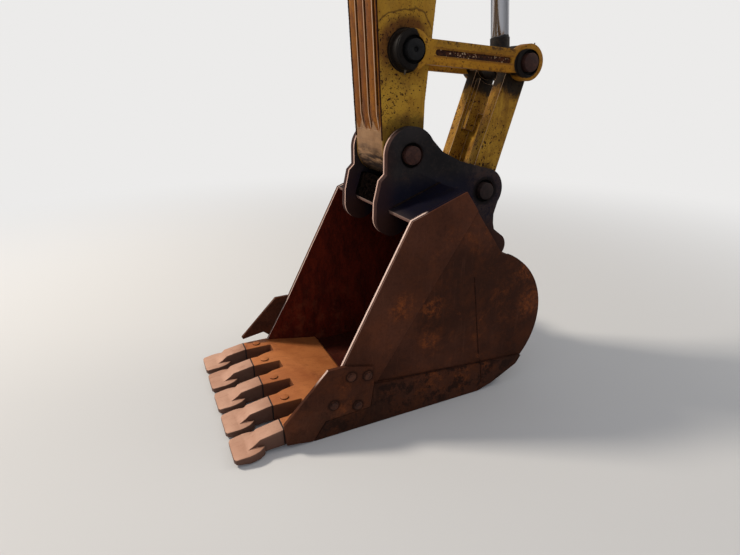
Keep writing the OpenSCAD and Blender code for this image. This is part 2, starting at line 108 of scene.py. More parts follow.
class Finish:
    def __init__(self, name, tones=None):
        self.tones = tones
        self.material = bpy.data.materials.new(name)
        self.material.use_nodes = True
        self.tree = self.material.node_tree
        self.tree.nodes.clear()
        self.out = self.tree.nodes.new("ShaderNodeOutputMaterial")
        self.shader = self.tree.nodes.new("ShaderNodeBsdfPrincipled")
        self.tree.links.new(self.shader.outputs[0], self.out.inputs[0])
        self.base = None  # the colour so far
        coords = self.tree.nodes.new("ShaderNodeTexCoord")
        self.place = Wire(self, coords.outputs["Object"])
        self.facing = Wire(self, coords.outputs["Normal"])
        self.x, self.y, self.z = (self.axis(name, self.place) for name in "XYZ")
        self.faceX, self.faceY, self.faceZ = (self.axis(name, self.facing) for name in "XYZ")

    def fill(self, pairs):  # sockets with their values or links
        for socket, value in pairs:
            if isinstance(value, Wire):
                self.tree.links.new(value.socket, socket)
            elif value is not None:
                socket.default_value = value

    # Any node: its type, its settings, then the values or links of its sockets
    def node(self, kind, settings, *values, **named):
        made = self.tree.nodes.new(kind)
        for key, value in settings.items():
            setattr(made, key, value)
        self.fill(zip(made.inputs, values))
        self.fill((made.inputs[key], value) for key, value in named.items())
        return made

    def noise(self, scale, detail=3.0, rough=0.55, stretch=(1, 1, 1), shift=(0, 0, 0), turn=(0, 0, 0),
              warp=0.0, source=None):
        mapped = self.node("ShaderNodeMapping", {}, source or self.place, shift, turn, stretch)
        made = self.node("ShaderNodeTexNoise", {}, Wire(self, mapped.outputs[0]),
                         Scale=scale, Detail=detail, Roughness=rough, Distortion=warp)
        return Wire(self, made.outputs[0])

    def ragged(self, value, amount, scale, detail=5.0, rough=0.7, shift=(0, 0, 0)):  # a value made uneven
        return value + self.noise(scale, detail, rough, shift=shift) * amount

    def axis(self, name, source):
        return Wire(self, self.node("ShaderNodeSeparateXYZ", {}, source).outputs[name])

    def vector(self, x, y, z):
        return Wire(self, self.node("ShaderNodeCombineXYZ", {}, x, y, z).outputs[0])

    def pinDistance(self, pin):  # distance from the axis of a pin that runs across
        flat = self.node("ShaderNodeVectorMath", {"operation": "MULTIPLY"}, self.place, (1.0, 0.0, 1.0))
        away = self.node("ShaderNodeVectorMath", {"operation": "DISTANCE"}, Wire(self, flat.outputs[0]),
                         (pin.x, 0.0, pin.z))
        return Wire(self, away.outputs["Value"])

    def along(self, start, end):  # distance along and beside the line through two pins
        ahead = (end - start).normalized()
        run = (self.x - start.x) * ahead.x + (self.z - start.z) * ahead.z
        beside = (self.z - start.z) * ahead.x - (self.x - start.x) * ahead.z
        return run, beside

    def tone(self, value):  # a colour given by its name or its numbers, or one that is wired
        value = self.tones[value] if isinstance(value, str) else value
        return shade(*value) if isinstance(value, tuple) else value

    def mix(self, share, first, second):
        made = self.node("ShaderNodeMix", {"data_type": "RGBA"}, share, *[None] * 5,
                         self.tone(first), self.tone(second))
        return Wire(self, made.outputs[2])

    def lay(self, share, tone):  # a tone over the colour so far
        self.base = self.mix(share, self.base, tone)

    def bump(self, height, strength, distance, under=None):
        made = self.node("ShaderNodeBump", {}, Strength=strength, Distance=distance, Height=height,
                         Normal=under)
        return Wire(self, made.outputs[0])

    def finish(self, rough, specular=None, normal=None, metal=None):
        values = {"Base Color": self.base, "Roughness": rough, "Specular IOR Level": specular,
                  "Normal": normal, "Metallic": metal}
        self.fill((self.shader.inputs[name], value) for name, value in values.items())
        return self.material


# Painted shade: the sunk ring round a pin's end is coloured near-black.
pinHollowShade = (0.060, 0.0625)  # the sunk ring round the end of a pin


def shade(red, green, blue):  # a colour as a photograph shows it, 0 to 255
    def linear(value):
        value = value / 255
        return value / 12.92 if value <= 0.04045 else ((value + 0.055) / 1.055) ** 2.4
    return (linear(red), linear(green), linear(blue), 1.0)


paint = {
    "light": (182, 138, 46), "main": (162, 116, 36), "deep": (132, 88, 28), "dull": (120, 84, 38),
    # the front tones are darker and browner: rust, and painted shade of the front plate
    "frontLight": (142, 86, 8), "frontMain": (124, 70, 6), "frontDeep": (88, 44, 5),
    "frontDull": (78, 40, 10), "linkLight": (170, 122, 34), "linkMain": (152, 102, 26),
    "warm": (78, 38, 12), "stain": (112, 58, 20), "rust": (48, 28, 18), "grime": (16, 11, 8),
    "black": (6, 5, 5), "groove": (34, 16, 8), "smear": (92, 50, 26), "crack": (66, 38, 20),
    "bare": (148, 114, 82), "bareMid": (124, 88, 58), "bareDark": (42, 26, 16), "scuff": (104, 78, 60),
    "foot": (26, 16, 11), "flake": (72, 36, 18), "flakeDark": (34, 14, 9), "flakeBright": (206, 176, 140),
    "rim": (96, 52, 24), "linkTop": (96, 70, 34), "linkLow": (186, 118, 24),
}
plainTones = ("main", "light", "deep", "dull")
linkAhead = (commonPin - linkPin).normalized()


# The near-black ends (grease and painted shade), sunk panel and chipped borders of the side links
def linkMarks(f, rusted, s):
    run, beside = f.along(linkPin, commonPin)
    bar = run.rise(0.09, 0.13) * run.fall(0.56, 0.6)
    depth = f.y.size()
    sunk = depth.fall(s["floor"] + 0.001, s["floor"] + 0.002)
    sunk = sunk * depth.rise(s["floor"] - 0.002, s["floor"] - 0.001) * f.faceY.size().rise(0.85, 0.95)
    flakes = f.noise(52.0, 4.0, 0.7)
    worn = f.mix(flakes.rise(0.42, 0.6), "flakeDark", "flake")
    worn = f.mix(f.noise(88.0, 3.0, 0.6, shift=(3, 3, 3)).rise(0.6, 0.65), worn, "flakeBright")
    f.lay(sunk * flakes.rise(0.16, 0.4), worn)
    ragged = f.ragged(beside.size(), 0.02, 30.0, 5.0, 0.75) - 0.01
    panelRim = ragged.rise(0.012, 0.015) * ragged.fall(0.019, 0.025) * bar * f.faceY.size().rise(0.8, 0.9)
    f.lay(panelRim * (1.0 - sunk) * 0.6, "rim")
    chips = beside.size().rise(0.030, 0.046) * bar * f.noise(44.0, 4.0, 0.75).rise(0.5, 0.58)
    f.lay(chips * 0.85, "rust")
    top = beside.rise(0.012, 0.03) * bar * f.noise(40.0, 4.0, 0.7).rise(0.35, 0.62)
    f.lay(top * 0.35, "linkTop")
    low = beside.fall(-0.03, -0.012) * bar * (1.0 - rusted)
    f.lay(low * 0.3, "linkLow")
    for end, reach, height, shift in s["ends"]:
        # a black patch of grease and painted shade, longer along the link than across it
        ahead, _ = f.along(end, end + linkAhead)
        wide = (ahead - shift) * (1 / reach)
        tall = (beside + 0.006) * (1 / height)
        away = f.ragged(wide * wide + tall * tall, 0.36, 28.0) - 0.18
        f.lay(away.fall(0.88, 1.06), "grime")
        # painted shade: near-black in the sunk ring round the pin's end
        hollow = f.pinDistance(end).fall(*pinHollowShade) * depth.rise(0.208, 0.213) * depth.fall(0.235, 0.237)
        f.lay(hollow, "black")


# The paint of the front ends in points between the wear bars, above a worn nose
def noseMarks(f):
    comb = (f.y.size() * 70.0).wave() * 0.022
    edgeZ = bucketPin.z + 0.130
    bare = f.ragged(f.z + comb, 0.03, 38.0, 4.0).fall(edgeZ + 0.012, edgeZ + 0.018)
    bare = bare * f.y.size().fall(0.146, 0.15)
    scuffs = f.noise(1.0, 5.0, 0.7, stretch=(46, 7, 46))
    tone = f.mix(f.noise(11.0, 5.0, 0.7).rise(0.4, 0.7) * 0.6, "bare", "bareMid")
    tone = f.mix(scuffs.rise(0.46, 0.7) * 0.45, tone, "scuff")
    low = f.ragged(f.z, 0.09, 9.0, 4.0, 0.55).fall(bucketPin.z + 0.02, bucketPin.z + 0.1)
    tone = f.mix(low * scuffs.rise(0.3, 0.56), tone, "bareDark")
    foot = f.ragged(f.z, 0.07, 14.0, 4.0, 0.55, (1, 4, 4)).fall(bucketPin.z - 0.06, bucketPin.z)
    tone = f.mix(foot * 0.85, tone, "foot")
    f.lay(bare, tone)
    return bare


# Marks round the side link pin on the stick: a brown smear, a cracked arc above it
def pinMarks(f):
    away = f.pinDistance(linkPin)
    ragged = f.ragged(away, 0.07, 14.0) - 0.035
    smear = ragged.rise(0.085, 0.1) * ragged.fall(0.125, 0.165)
    level = linkPin.z - linkPin.x * 0.8
    upper = (f.z - f.x * 0.8).rise(level - 0.05, level + 0.06)
    f.lay(smear * (upper * 0.6 + 0.22), "smear")
    bent = f.ragged(away, 0.12, 5.0, 3.0, 0.6, (2, 2, 6)) - 0.06
    arc = bent.rise(0.172, 0.176) * bent.fall(0.178, 0.184) * f.z.rise(linkPin.z - 0.02, linkPin.z + 0.06)
    f.lay(arc * f.faceY.size().rise(0.6, 0.8) * 0.7, "crack")


# Old yellow paint. The settings say what its place adds to it.
def paintFinish(name, settings):
    s = {"specks": 0.0, "runs": 0.3, "warm": 0.0, "grime": (), "link": None, "nose": False,
         "pinMarks": False, "grooves": False, "tones": plainTones, "fade": None} | settings
    f = Finish(name, paint)
    main, light, deep, dull = s["tones"]
    worn = 1.0
    if s["fade"]:  # the browner tones end in the plain ones further up
        low, high = s["fade"]
        worn = f.ragged(f.z, 0.5, 3.0, 4.0, 0.6, (5, 5, 5)).fall(low + 0.25, high + 0.25)
        main, light, deep, dull = (f.mix(worn, *pair) for pair in zip(plainTones, s["tones"]))
    mottled = f.noise(17.0, 5.0, 0.7)
    f.base = f.mix(f.noise(2.6, 4.0, 0.6).rise(0.36, 0.64), main, light)
    f.lay(mottled.rise(0.45, 0.7) * 0.5, deep)
    f.lay(f.noise(5.5, 5.0, 0.7, shift=(4, 2, 9)).rise(0.5, 0.68) * 0.45, dull)
    streaks = f.noise(1.0, 6.0, 0.65, stretch=(34, 34, 1.6))
    run = streaks.rise(0.5, 0.68) * f.noise(2.4, 3.0, shift=(1, 5, 3)).rise(0.4, 0.6)
    f.lay(run * s["runs"], "stain")
    if s["warm"]:
        broad = streaks.rise(0.34, 0.6) * 0.55 + mottled.rise(0.38, 0.62) * 0.45
        f.lay(broad * s["warm"] * worn, "warm")
    crowd = f.noise(4.0, 3.0, 0.6, shift=(7, 3, 2)).rise(0.35, 0.68)
    chips = f.noise(78.0, 2.0, 0.5) + crowd * 0.07
    level = 0.705 - s["specks"]
    dust = (f.noise(165.0, 2.0, 0.5) + crowd * 0.08).rise(level - 0.01, level + 0.04)
    rusted = chips.rise(level, level + 0.03).most(dust * 0.8)
    f.lay(chips.rise(level - 0.06, level) * 0.3, "stain")
    if s["pinMarks"]:
        pinMarks(f)
    f.lay(rusted, "rust")
    rough = 0.5 + mottled * 0.22 + rusted * 0.25
    metal = 0.0
    if s["grooves"]:  # painted shade in the gaps between the wear bars
        fromGap = (f.y.size() - 0.045).size()
        gap = fromGap.fall(0.010, 0.013) * f.faceX.fall(-0.6, -0.4)
        barTop = bucketPin.z + 1.54
        f.lay(gap * f.z.fall(barTop, barTop + 0.04) * 0.85, "groove")
    if s["link"]:
        linkMarks(f, rusted, s["link"])
    # near-black rings round pins: grime on the painted faces, and painted shade on the boss sides
    black = None
    for pin, reach, share in s["grime"]:
        ragged = f.ragged(f.ragged(f.pinDistance(pin), 0.08, 15.0, 5.0, 0.65), 0.07, 52.0, 4.0) - 0.075
        near = ragged.fall(reach * 0.74, reach) * share
        black = near if black is None else black.most(near)
    if black is not None:
        f.lay(black, "grime")
    if s["nose"]:
        bare = noseMarks(f)
        metal = bare * 0.45
        rusted = rusted * (1.0 - bare)
    under = f.bump(f.noise(150.0, 3.0), 0.2, 0.001)
    normal = f.bump(1.0 - rusted, 0.5, 0.0008, f.bump(f.noise(7.0, 3.0), 0.25, 0.004, under))
    return f.finish(rough, 0.1, normal, metal)


bucketRust = {
    "dark": (54, 31, 22), "main": (80, 47, 34), "lifted": (116, 66, 46), "grain": (40, 24, 18),
    "drawn": (100, 62, 46), "warm": (104, 54, 28), "orange": (138, 72, 34), "dust": (112, 78, 58),
    "blotch": (33, 20, 16), "pit": (26, 16, 13), "dim": (20, 9, 7), "boltRing": (30, 18, 14),
    "inside": (104, 34, 17), "insideDeep": (58, 17, 9), "insideGrain": (46, 16, 9),
    "insideWorn": (120, 66, 44), "insideLow": (36, 13, 8), "navy": (2, 4, 19), "roofGrain": (11, 9, 12),
    "edge": (222, 192, 178),
}
mouthTop = fromPin(-0.128, -0.258)
mouthLow = fromPin(-0.642, -1.186)
ridgeTop = fromPin(0.165, -0.148)
heelStart = fromPin(0.417, -0.496)
heelMiddle = fromPin(0.320, -0.884)
baseZ = bucketPin.z - 1.284


# 1 on the skin that faces the bucket's hollow: under the roof, before the slope
# behind it, above the base and within the heel
def hollowOf(f):
    _, over = f.along(mouthTop, ridgeTop)
    _, behind = f.along(ridgeTop, heelStart)
    front = behind.fall(-0.012, -0.008) * over.fall(-0.012, -0.008)
    front = front * f.x.fall(heelStart.x - 0.007, heelStart.x) * f.z.rise(baseZ + 0.012, baseZ + 0.016)
    return front.most(f.pinDistance(heelMiddle).fall(0.388, 0.392)) * f.y.size().fall(0.4375, 0.439)


# Brown plate rust: fine grain, patches of newer rust, a redder inside, front edges
# worn bright under a painted highlight, and a navy near-black on the roof plate as painted shade and sky
# reflection
def rustFinish(name, settings):
    s = {"patchy": 0.3, "gritty": 0.2, "inside": 0.0, "roof": 0.0, "edge": None, "dusty": 0.0,
         "lift": 0.0, "blotched": 0.0, "dim": 0.0, "spots": (), "bolts": ()} | settings
    f = Finish(name, bucketRust)
    mid = f.noise(8.0, 6.0, 0.65)
    grain = f.noise(64.0, 5.0, 0.75)
    drawn = f.noise(1.0, 5.0, 0.65, stretch=(60, 60, 5), turn=(0, 0.45, 0))
    broad = f.noise(1.7, 4.0, 0.55, warp=0.3)
    f.base = f.mix(broad.rise(0.36, 0.64), "main", "dark")
    f.lay(s["lift"], "lifted")
    f.lay(mid.rise(0.5, 0.75) * 0.35, "dark")
    f.lay(grain.rise(0.45, 0.7) * 0.3, "grain")
    f.lay(drawn.rise(0.54, 0.72) * 0.2, "drawn")
    cloud = f.noise(4.2, 6.0, 0.7, shift=(3, 1, 7), warp=0.6).rise(0.5, 0.72)
    fine = f.noise(30.0, 6.0, 0.8, shift=(1, 6, 2)).rise(0.4, 0.66)
    f.lay(cloud * fine * s["patchy"], "orange")
    warm = f.noise(7.0, 6.0, 0.72, shift=(9, 4, 2)).rise(0.44, 0.72)
    f.lay(warm * s["patchy"] * 0.6, "warm")
    for x, z, reach in s["spots"]:
        away = f.ragged(f.pinDistance(fromPin(x, z)), 0.2, 11.0, 5.0, 0.75, (x, 2, z)) - 0.1
        f.lay(away.fall(reach * 0.2, reach) * fine * 0.66, "orange")
    if s["blotched"]:
        dark = f.noise(12.0, 6.0, 0.75, shift=(6, 1, 3)).rise(0.5, 0.6)
        f.lay(dark * s["blotched"], "blotch")
    pits = f.noise(125.0, 3.0, 0.6)
    pitted = pits.rise(0.6, 0.68) * f.noise(7.0, 4.0, shift=(5, 5, 1)).rise(0.4, 0.6) * s["gritty"]
    f.lay(pitted, "pit")
    if s["inside"]:
        flow = f.noise(1.0, 6.0, 0.75, stretch=(24, 24, 7), turn=(0, 0.5, 0))
        redder = f.mix(flow.rise(0.3, 0.72), "insideDeep", "inside")
        redder = f.mix(grain.rise(0.4, 0.65) * 0.45, redder, "insideGrain")
        worn = f.noise(13.0, 5.0, 0.7, shift=(2, 8, 3)).rise(0.45, 0.7)
        worn = worn * f.z.fall(groundZ + 0.1, groundZ + 0.55)
        redder = f.mix(worn * 0.5, redder, "insideWorn")
        # painted shadow: the inside floor darker
        redder = f.mix(f.faceZ.rise(0.6, 0.9) * 0.75, redder, "insideLow")
        f.lay(hollowOf(f) * s["inside"], redder)
    if s["roof"]:
        # painted shade with a painted sky reflection: the roof plate goes navy near-black
        slope = (f.z - bucketPin.z) + 0.21 - (f.x - bucketPin.x) * 0.375
        roof = f.faceZ.rise(0.55, 0.75) * f.ragged(slope, 0.06, 12.0).rise(-0.28, -0.2)
        roofShadeTone = f.noise(19.0, 5.0, 0.7).rise(0.45, 0.7) * 0.6
        roofShadeTone = f.mix(roofShadeTone, "navy", "roofGrain")
        f.lay(roof * s["roof"], roofShadeTone)
    if s["dusty"]:
        low = (f.ragged(f.z, 0.22, 6.0, 5.0, 0.65) - 0.11).fall(groundZ + 0.06, groundZ + 0.3)
        low = low * s["dusty"] * f.noise(70.0, 4.0, 0.7).rise(0.3, 0.6)
        f.lay(low, "dust")
    # painted shadow: a dark ring round each bolt head
    for x, z in s["bolts"]:
        away = f.ragged(f.pinDistance(fromPin(x, z)), 0.02, 42.0, 4.0)
        f.lay(away.fall(0.034, 0.05) * 0.8, "boltRing")
    # painted shade: the whole rust darkened for the heel and cutters
    f.lay(s["dim"], "dim")
    rough = 0.66 + mid * 0.24
    if s["edge"]:  # the front edges, bright on the inner part of their thickness
        # the bright edges are worn steel with a painted highlight, where light catches them
        share, low, high = s["edge"]
        _, beside = f.along(mouthTop, mouthLow)
        front = (f.faceX * -1.0).rise(0.45, 0.75) * f.faceY.size().fall(0.4, 0.6)
        front = front * (beside + 0.09).rise(0.0, 0.02)
        across = f.y.size()
        corner = f.pinDistance(mouthTop).fall(0.07, 0.1) * f.faceZ.rise(0.5, 0.7) * across.rise(0.43, 0.436)
        bright = front.most(corner) * across.rise(low, low + 0.002) * across.fall(high, high + 0.003)
        # painted shade: the far side's edges kept dim
        bright = bright * (1.0 - f.y.rise(0.440, 0.444) * 0.85)
        # worn bright steel, and a painted highlight
        worn = bright * f.noise(24.0, 5.0, 0.7).rise(0.16, 0.42) * share
        f.lay(worn, "edge")
        rough = rough - worn * 0.2
    normal = f.bump(mid, 0.4, 0.006, f.bump(grain, 0.45, 0.0016, f.bump(pits, 0.3, 0.0008)))
    return f.finish(rough, 0.05, normal)


# Steel that the soil scours: smooth and dusty, pitted, with its sides darkened as painted shade
def scouredFinish(name, settings):
    s = {"share": 0.3, "gloss": 0.5, "grain": (14, 60, 60), "seam": None} | settings
    f = Finish(name, s)
    scratch = f.noise(1.0, 5.0, 0.7, stretch=s["grain"])
    broad = f.noise(5.0, 4.0, 0.55)
    pits = f.noise(105.0, 4.0, 0.7)
    f.base = f.mix(broad.rise(0.35, 0.68), "bright", "dull")
    f.lay(scratch.rise(0.5, 0.74) * 0.35, "rust")
    f.lay(pits.rise(0.56, 0.7) * s["share"], "rust")
    patch = f.noise(9.0, 5.0, 0.65, shift=(4, 7, 1)).rise(0.55, 0.72) * s["share"] * 1.4
    f.lay(patch, "rust")
    # painted shade: faces that don't face up are darkened
    sides = f.faceZ.fall(0.1, 0.5)
    f.lay(sides * 0.85, "deep")
    if s["seam"]:
        gap = (f.x - s["seam"]).size().fall(0.0025, 0.005)
        f.lay(gap, (22, 12, 9))
    rough = s["gloss"] + patch * 0.3 + scratch * 0.1
    normal = f.bump(scratch, 0.15, 0.001, f.bump(pits, 0.4, 0.001))
    return f.finish(rough, 0.3, normal, 0.08)


# Near-black plate of the ears, its dark tones also painting the shade the ears stood in: navy below
# as a painted sky reflection, rusty behind, with a painted highlight on the inner border of the front rim
def slateFinish(name, s):
    f = Finish(name, s)
    broad = f.noise(4.0, 5.0, 0.6)
    fine = f.noise(48.0, 5.0, 0.75)
    x, z = f.x - bucketPin.x, f.z - bucketPin.z
    # the near-black tones carry painted shade
    f.base = f.mix(broad.rise(0.35, 0.68), "main", "light")
    f.lay(fine.rise(0.45, 0.7) * 0.4, "grain")
    # painted sky reflection: navy low on the ear
    f.lay(f.ragged(z, 0.08, 11.0).fall(-0.14, -0.03) * 0.75, "navy")
    f.lay(f.ragged(z, 0.08, 9.0).fall(-0.27, -0.19) * x.fall(-0.1, -0.02) * 0.85, "foot")
    f.lay(f.ragged(x, 0.09, 9.0).fall(-0.12, -0.02) * 0.45, "front")
    f.lay(f.ragged(x, 0.1, 8.0).rise(0.36, 0.47) * fine.rise(0.3, 0.6) * 0.5, "rear")
    f.lay(f.ragged(z, 0.1, 8.0).fall(-0.42, -0.3) * x.rise(0.3, 0.4) * 0.85, "tail")
    f.lay(f.noise(8.0, 6.0, 0.72, shift=(2, 5, 1)).rise(0.54, 0.7) * 0.4, "rust")
    for pin, reach in s["pins"]:
        away = f.pinDistance(pin)
        # near-black round the pins: grease, and painted shade where the ear lies in shadow beside them
        f.lay((f.ragged(away, 0.03, 20.0, 4.0, 0.55) - 0.015).fall(reach * 0.8, reach) * 0.85, "grease")
        # painted shade: near-black in the sunk ring round each pin's end
        f.lay(away.fall(*pinHollowShade) * f.y.size().fall(0.214, 0.2175), "hollow")
    rim = (f.faceX * -1.0).rise(0.35, 0.7) * f.faceY.size().fall(0.4, 0.6)
    f.lay(rim * 0.8, "rim")
    # painted highlight: a bright line on the inner border of the front rim
    f.lay(f.y.size().fall(0.184, 0.188) * rim * f.noise(26.0, 5.0, 0.7).rise(0.16, 0.4) * 0.9, "inner")
    under = f.bump(f.noise(22.0, 5.0, 0.7), 0.3, 0.002)
    return f.finish(0.52 + broad * 0.25, 0.06, f.bump(f.noise(105.0, 4.0, 0.7), 0.35, 0.001, under))


def pinFinish(name, tone, second, rough=0.55):
    f = Finish(name)
    turned = f.noise(30.0, 5.0, 0.7)
    f.base = f.mix(turned.rise(0.36, 0.66), tone, second)
    f.lay(f.noise(90.0, 3.0, 0.6).rise(0.6, 0.66) * 0.5, (24, 17, 15))
    normal = f.bump(f.noise(120.0, 4.0, 0.7), 0.35, 0.0008)
    return f.finish(rough + turned * 0.2, 0.15, normal)


# The rod's chrome with a thin film of oil drawn along it, and grease by the eye
def chromeFinish(name):
    f = Finish(name)
    run, beside = f.along(basePin, commonPin)
    drawn = f.vector(beside * 30.0, f.y * 30.0, run * 1.6)
    film = f.noise(1.0, 4.0, 0.6, source=drawn)
    haze = film.rise(0.4, 0.78)
    f.base = f.mix(haze * 0.4, (188, 190, 196), (120, 106, 90))
    greased = f.ragged(f.pinDistance(commonPin), 0.02, 60.0, 4.0).fall(0.150, 0.156)
    f.lay(greased, (18, 15, 13))
    return f.finish(0.14 + haze * 0.2 + greased * 0.4, metal=1.0 - greased)


# Old grease or packed soil, with grit in it
def greaseFinish(name, tone=(20, 16, 14), second=(44, 35, 28), grit=0.5, wet=0.12):
    f = Finish(name)
    lumps = f.noise(55.0, 5.0, 0.65)
    f.base = f.mix(lumps.rise(0.42, 0.68), tone, second)
    f.lay(f.noise(130.0, 3.0, 0.6).rise(0.64, 0.7) * grit, (96, 76, 60))
    return f.finish(0.42 + lumps * 0.35, wet, f.bump(lumps, 0.6, 0.003))


# Weld metal, with the colour of what it joins
def weldFinish(name, tone, second):
    f = Finish(name)
    mixed = f.noise(34.0, 5.0, 0.7)
    f.base = f.mix(mixed.rise(0.38, 0.64), tone, second)
    f.lay(f.noise(110.0, 3.0, 0.6).rise(0.58, 0.66) * 0.5, (34, 22, 18))
    return f.finish(0.8, 0.04, f.bump(mixed, 0.3, 0.0015))


seamX = bucketPin.x - 0.796  # where a tooth meets its adapter
cutterHoles = ((-0.452, -0.985), (-0.365, -1.001), (-0.547, -1.119), (-0.421, -1.157))
sideSpots = (
    (-0.184, -0.684, 0.10), (-0.001, -0.714, 0.08), (-0.004, -0.903, 0.09), (0.649, -0.804, 0.13),
    (0.600, -0.620, 0.10))
heelSpots = ((0.194, -1.150, 0.10), (0.032, -1.118, 0.09), (0.36, -1.130, 0.08))
materials = {
    "stickYellow": paintFinish("stickYellow", {
        "specks": 0.012, "runs": 0.35, "pinMarks": True,
        "grime": ((linkPin, 0.112, 0.8), (bucketPin, 0.22, 0.6))}),
    # darker, browner front paint: rust and painted shade
    "frontYellow": paintFinish("frontYellow", {
        "specks": 0.0, "runs": 0.5, "warm": 0.7, "nose": True, "grooves": True,
        "tones": ("frontMain", "frontLight", "frontDeep", "frontDull"),
        "fade": (fromPin(0, 1.5).z, fromPin(0, 2.3).z),
        "grime": ((bucketPin, 0.04, 0.5),)}),
    "linkYellow": paintFinish("linkYellow", {
        "specks": 0.016, "tones": ("linkMain", "linkLight", "deep", "frontDull"), "link": {
            "floor": 0.222, "ends": ((linkPin, 0.098, 0.12, -0.058), (commonPin, 0.080, 0.070, -0.020))}}),
    "frameYellow": paintFinish("frameYellow", {
        "specks": 0.045, "warm": 0.45, "grime": ((commonPin, 0.19, 0.96), (earPin, 0.15, 0.6))}),
    # the bosses' near-black round the pins is grease and painted shade
    "bossYellow": paintFinish("bossYellow", {
        "specks": 0.03, "grime": ((linkPin, 0.2, 0.98), (bucketPin, 0.2, 0.9))}),
    "cylinderYellow": paintFinish("cylinderYellow", {"specks": -0.02, "grime": ((basePin, 0.14, 0.7),)}),
    "bucketBrown": rustFinish("bucketBrown", {
        "patchy": 0.5, "inside": 1.0, "roof": 0.97, "edge": (0.95, 0.43, 0.450), "spots": sideSpots}),
    "shellBrown": rustFinish("shellBrown", {
        "patchy": 0.42, "inside": 1.0, "roof": 0.97, "edge": (0.2, -1.0, 0.44)}),
    "doublerBrown": rustFinish("doublerBrown", {
        "patchy": 0.42, "edge": (0.12, 0.44, 0.47), "lift": 0.12, "spots": sideSpots}),
    "heelBrown": rustFinish("heelBrown", {
        "patchy": 0.8, "gritty": 1.0, "dusty": 0.08, "blotched": 0.85, "dim": 0.34,
        "spots": heelSpots}),
    "cutterBrown": rustFinish("cutterBrown", {
        "patchy": 0.8, "gritty": 0.9, "edge": (0.95, 0.45, 0.468), "dusty": 0.12, "blotched": 0.35,
        "lift": 0.2, "dim": 0.16, "bolts": cutterHoles}),
    "lipOrange": scouredFinish("lipOrange", {
        "bright": (180, 108, 56), "dull": (158, 88, 42), "rust": (108, 52, 26), "deep": (58, 27, 16),
        "share": 0.4, "gloss": 0.6, "seam": seamX}),
    "toothSteel": scouredFinish("toothSteel", {
        "bright": (186, 142, 117), "dull": (170, 124, 99), "rust": (136, 90, 66), "deep": (60, 32, 23),
        "seam": seamX}),
    "earSlate": slateFinish("earSlate", {
        "main": (27, 25, 26), "light": (42, 38, 38), "grain": (58, 48, 44), "navy": (9, 11, 30),
        "foot": (44, 27, 21), "front": (58, 35, 29), "rear": (70, 54, 47), "tail": (58, 34, 26),
        "rust": (66, 44, 34), "grease": (14, 11, 11), "hollow": (6, 5, 5), "rim": (54, 33, 28),
        "inner": (206, 170, 154), "pins": ((bucketPin, 0.07), (earPin, 0.085))}),
    "pinRust": pinFinish("pinRust", (46, 27, 24), (68, 42, 34)),
    "earPinRust": pinFinish("earPinRust", (30, 21, 20), (46, 33, 30)),
    "boltRust": pinFinish("boltRust", (48, 27, 20), (84, 49, 34)),
    "darkPin": pinFinish("darkPin", (10, 10, 11), (19, 18, 19), 0.6),
    "chrome": chromeFinish("chrome"),
    "grease": greaseFinish("grease"),
    "packedSoil": greaseFinish("packedSoil", (5, 4, 4), (17, 11, 9), 0.2, 0.0),
    # bright bevels: worn steel with a painted highlight
    "wornEdgeHighlight": scouredFinish("wornEdgeHighlight", {
        "bright": (226, 196, 164), "dull": (198, 160, 122), "rust": (150, 96, 58), "deep": (196, 158, 124)}),
    "paintedWeld": weldFinish("paintedWeld", (112, 72, 26), (146, 100, 34)),
    "greasyWeld": weldFinish("greasyWeld", (14, 10, 9), (32, 22, 17)),
    "rustedWeld": weldFinish("rustedWeld", (34, 18, 13), (58, 31, 21)),
    "nippleSteel": pinFinish("nippleSteel", (120, 112, 100), (88, 78, 66), 0.35),
}
print("materials made:", len(materials))

slotFinish = {
    "stick_paint": "stickYellow", "link_paint": "linkYellow", "cylinder_paint": "cylinderYellow",
    "chrome": "chrome", "eye_steel": "grease", "pin_steel": "pinRust", "ear_paint": "earSlate",
    "bucket_rust": "bucketBrown", "lip_rust": "lipOrange", "tooth_steel": "toothSteel",
}
slotOf = {part["node"]: part["material_slot"] for part in frame["record"]["subparts"]}
bodies = frame["record"]["behaviour"]["bodies"]
bodyOf = {name: body for body, members in bodies.items() for name in members}
nodeFinish = {
    "stick_front_plate": "frontYellow", "stick_wear_bars": "frontYellow", "h_link": "frameYellow",
    "nose_boss": "bossYellow", "link_boss": "bossYellow", "hinge_guard": "packedSoil",
    "side_wear_left": "heelBrown", "side_wear_right": "heelBrown", "wear_straps": "heelBrown",
    "side_cutter_left": "cutterBrown", "side_cutter_right": "cutterBrown",
    "side_bar_left": "doublerBrown", "side_bar_right": "doublerBrown", "link_pin_shaft": "darkPin",
    "bucket_shell": "shellBrown", "ear_pin_shaft": "earPinRust", "lifting_eye": "heelBrown",
}
plainEdge = (0.003, None)  # width of the rounded edge and what shows on it
edges = {  # the same for the nodes whose names begin so
    "tooth": (0.0025, None), "side_link": (0.005, None), "h_link": (0.0035, "wornEdgeHighlight"),
    "stick_side": (0.0025, None), "stick_wear": (0.0028, "wornEdgeHighlight"), "side_bar": (0.002, None),
    "hinge_guard": (0.004, None),
}
cornerAngle = 32  # degrees, an edge that turns more is rounded
cleaning = {"doubles": 2e-5, "flat": math.radians(1.0)}  # what is merged or joined in a node's mesh


# An object in the scene: a piece, a lamp or the camera
def newPiece(name, data):
    piece = bpy.data.objects.new(name, data)
    bpy.context.scene.collection.objects.link(piece)
    return piece


# Applies what modifies a piece and smooths its shading up to an angle in degrees
def settle(piece, sharp=35):
    graph = bpy.context.evaluated_depsgraph_get()
    made = bpy.data.meshes.new_from_object(piece.evaluated_get(graph))
    piece.modifiers.clear()
    piece.data = made
    made.polygons.foreach_set("use_smooth", [True] * len(made.polygons))
    made.set_sharp_from_angle(angle=math.radians(sharp))
    return piece


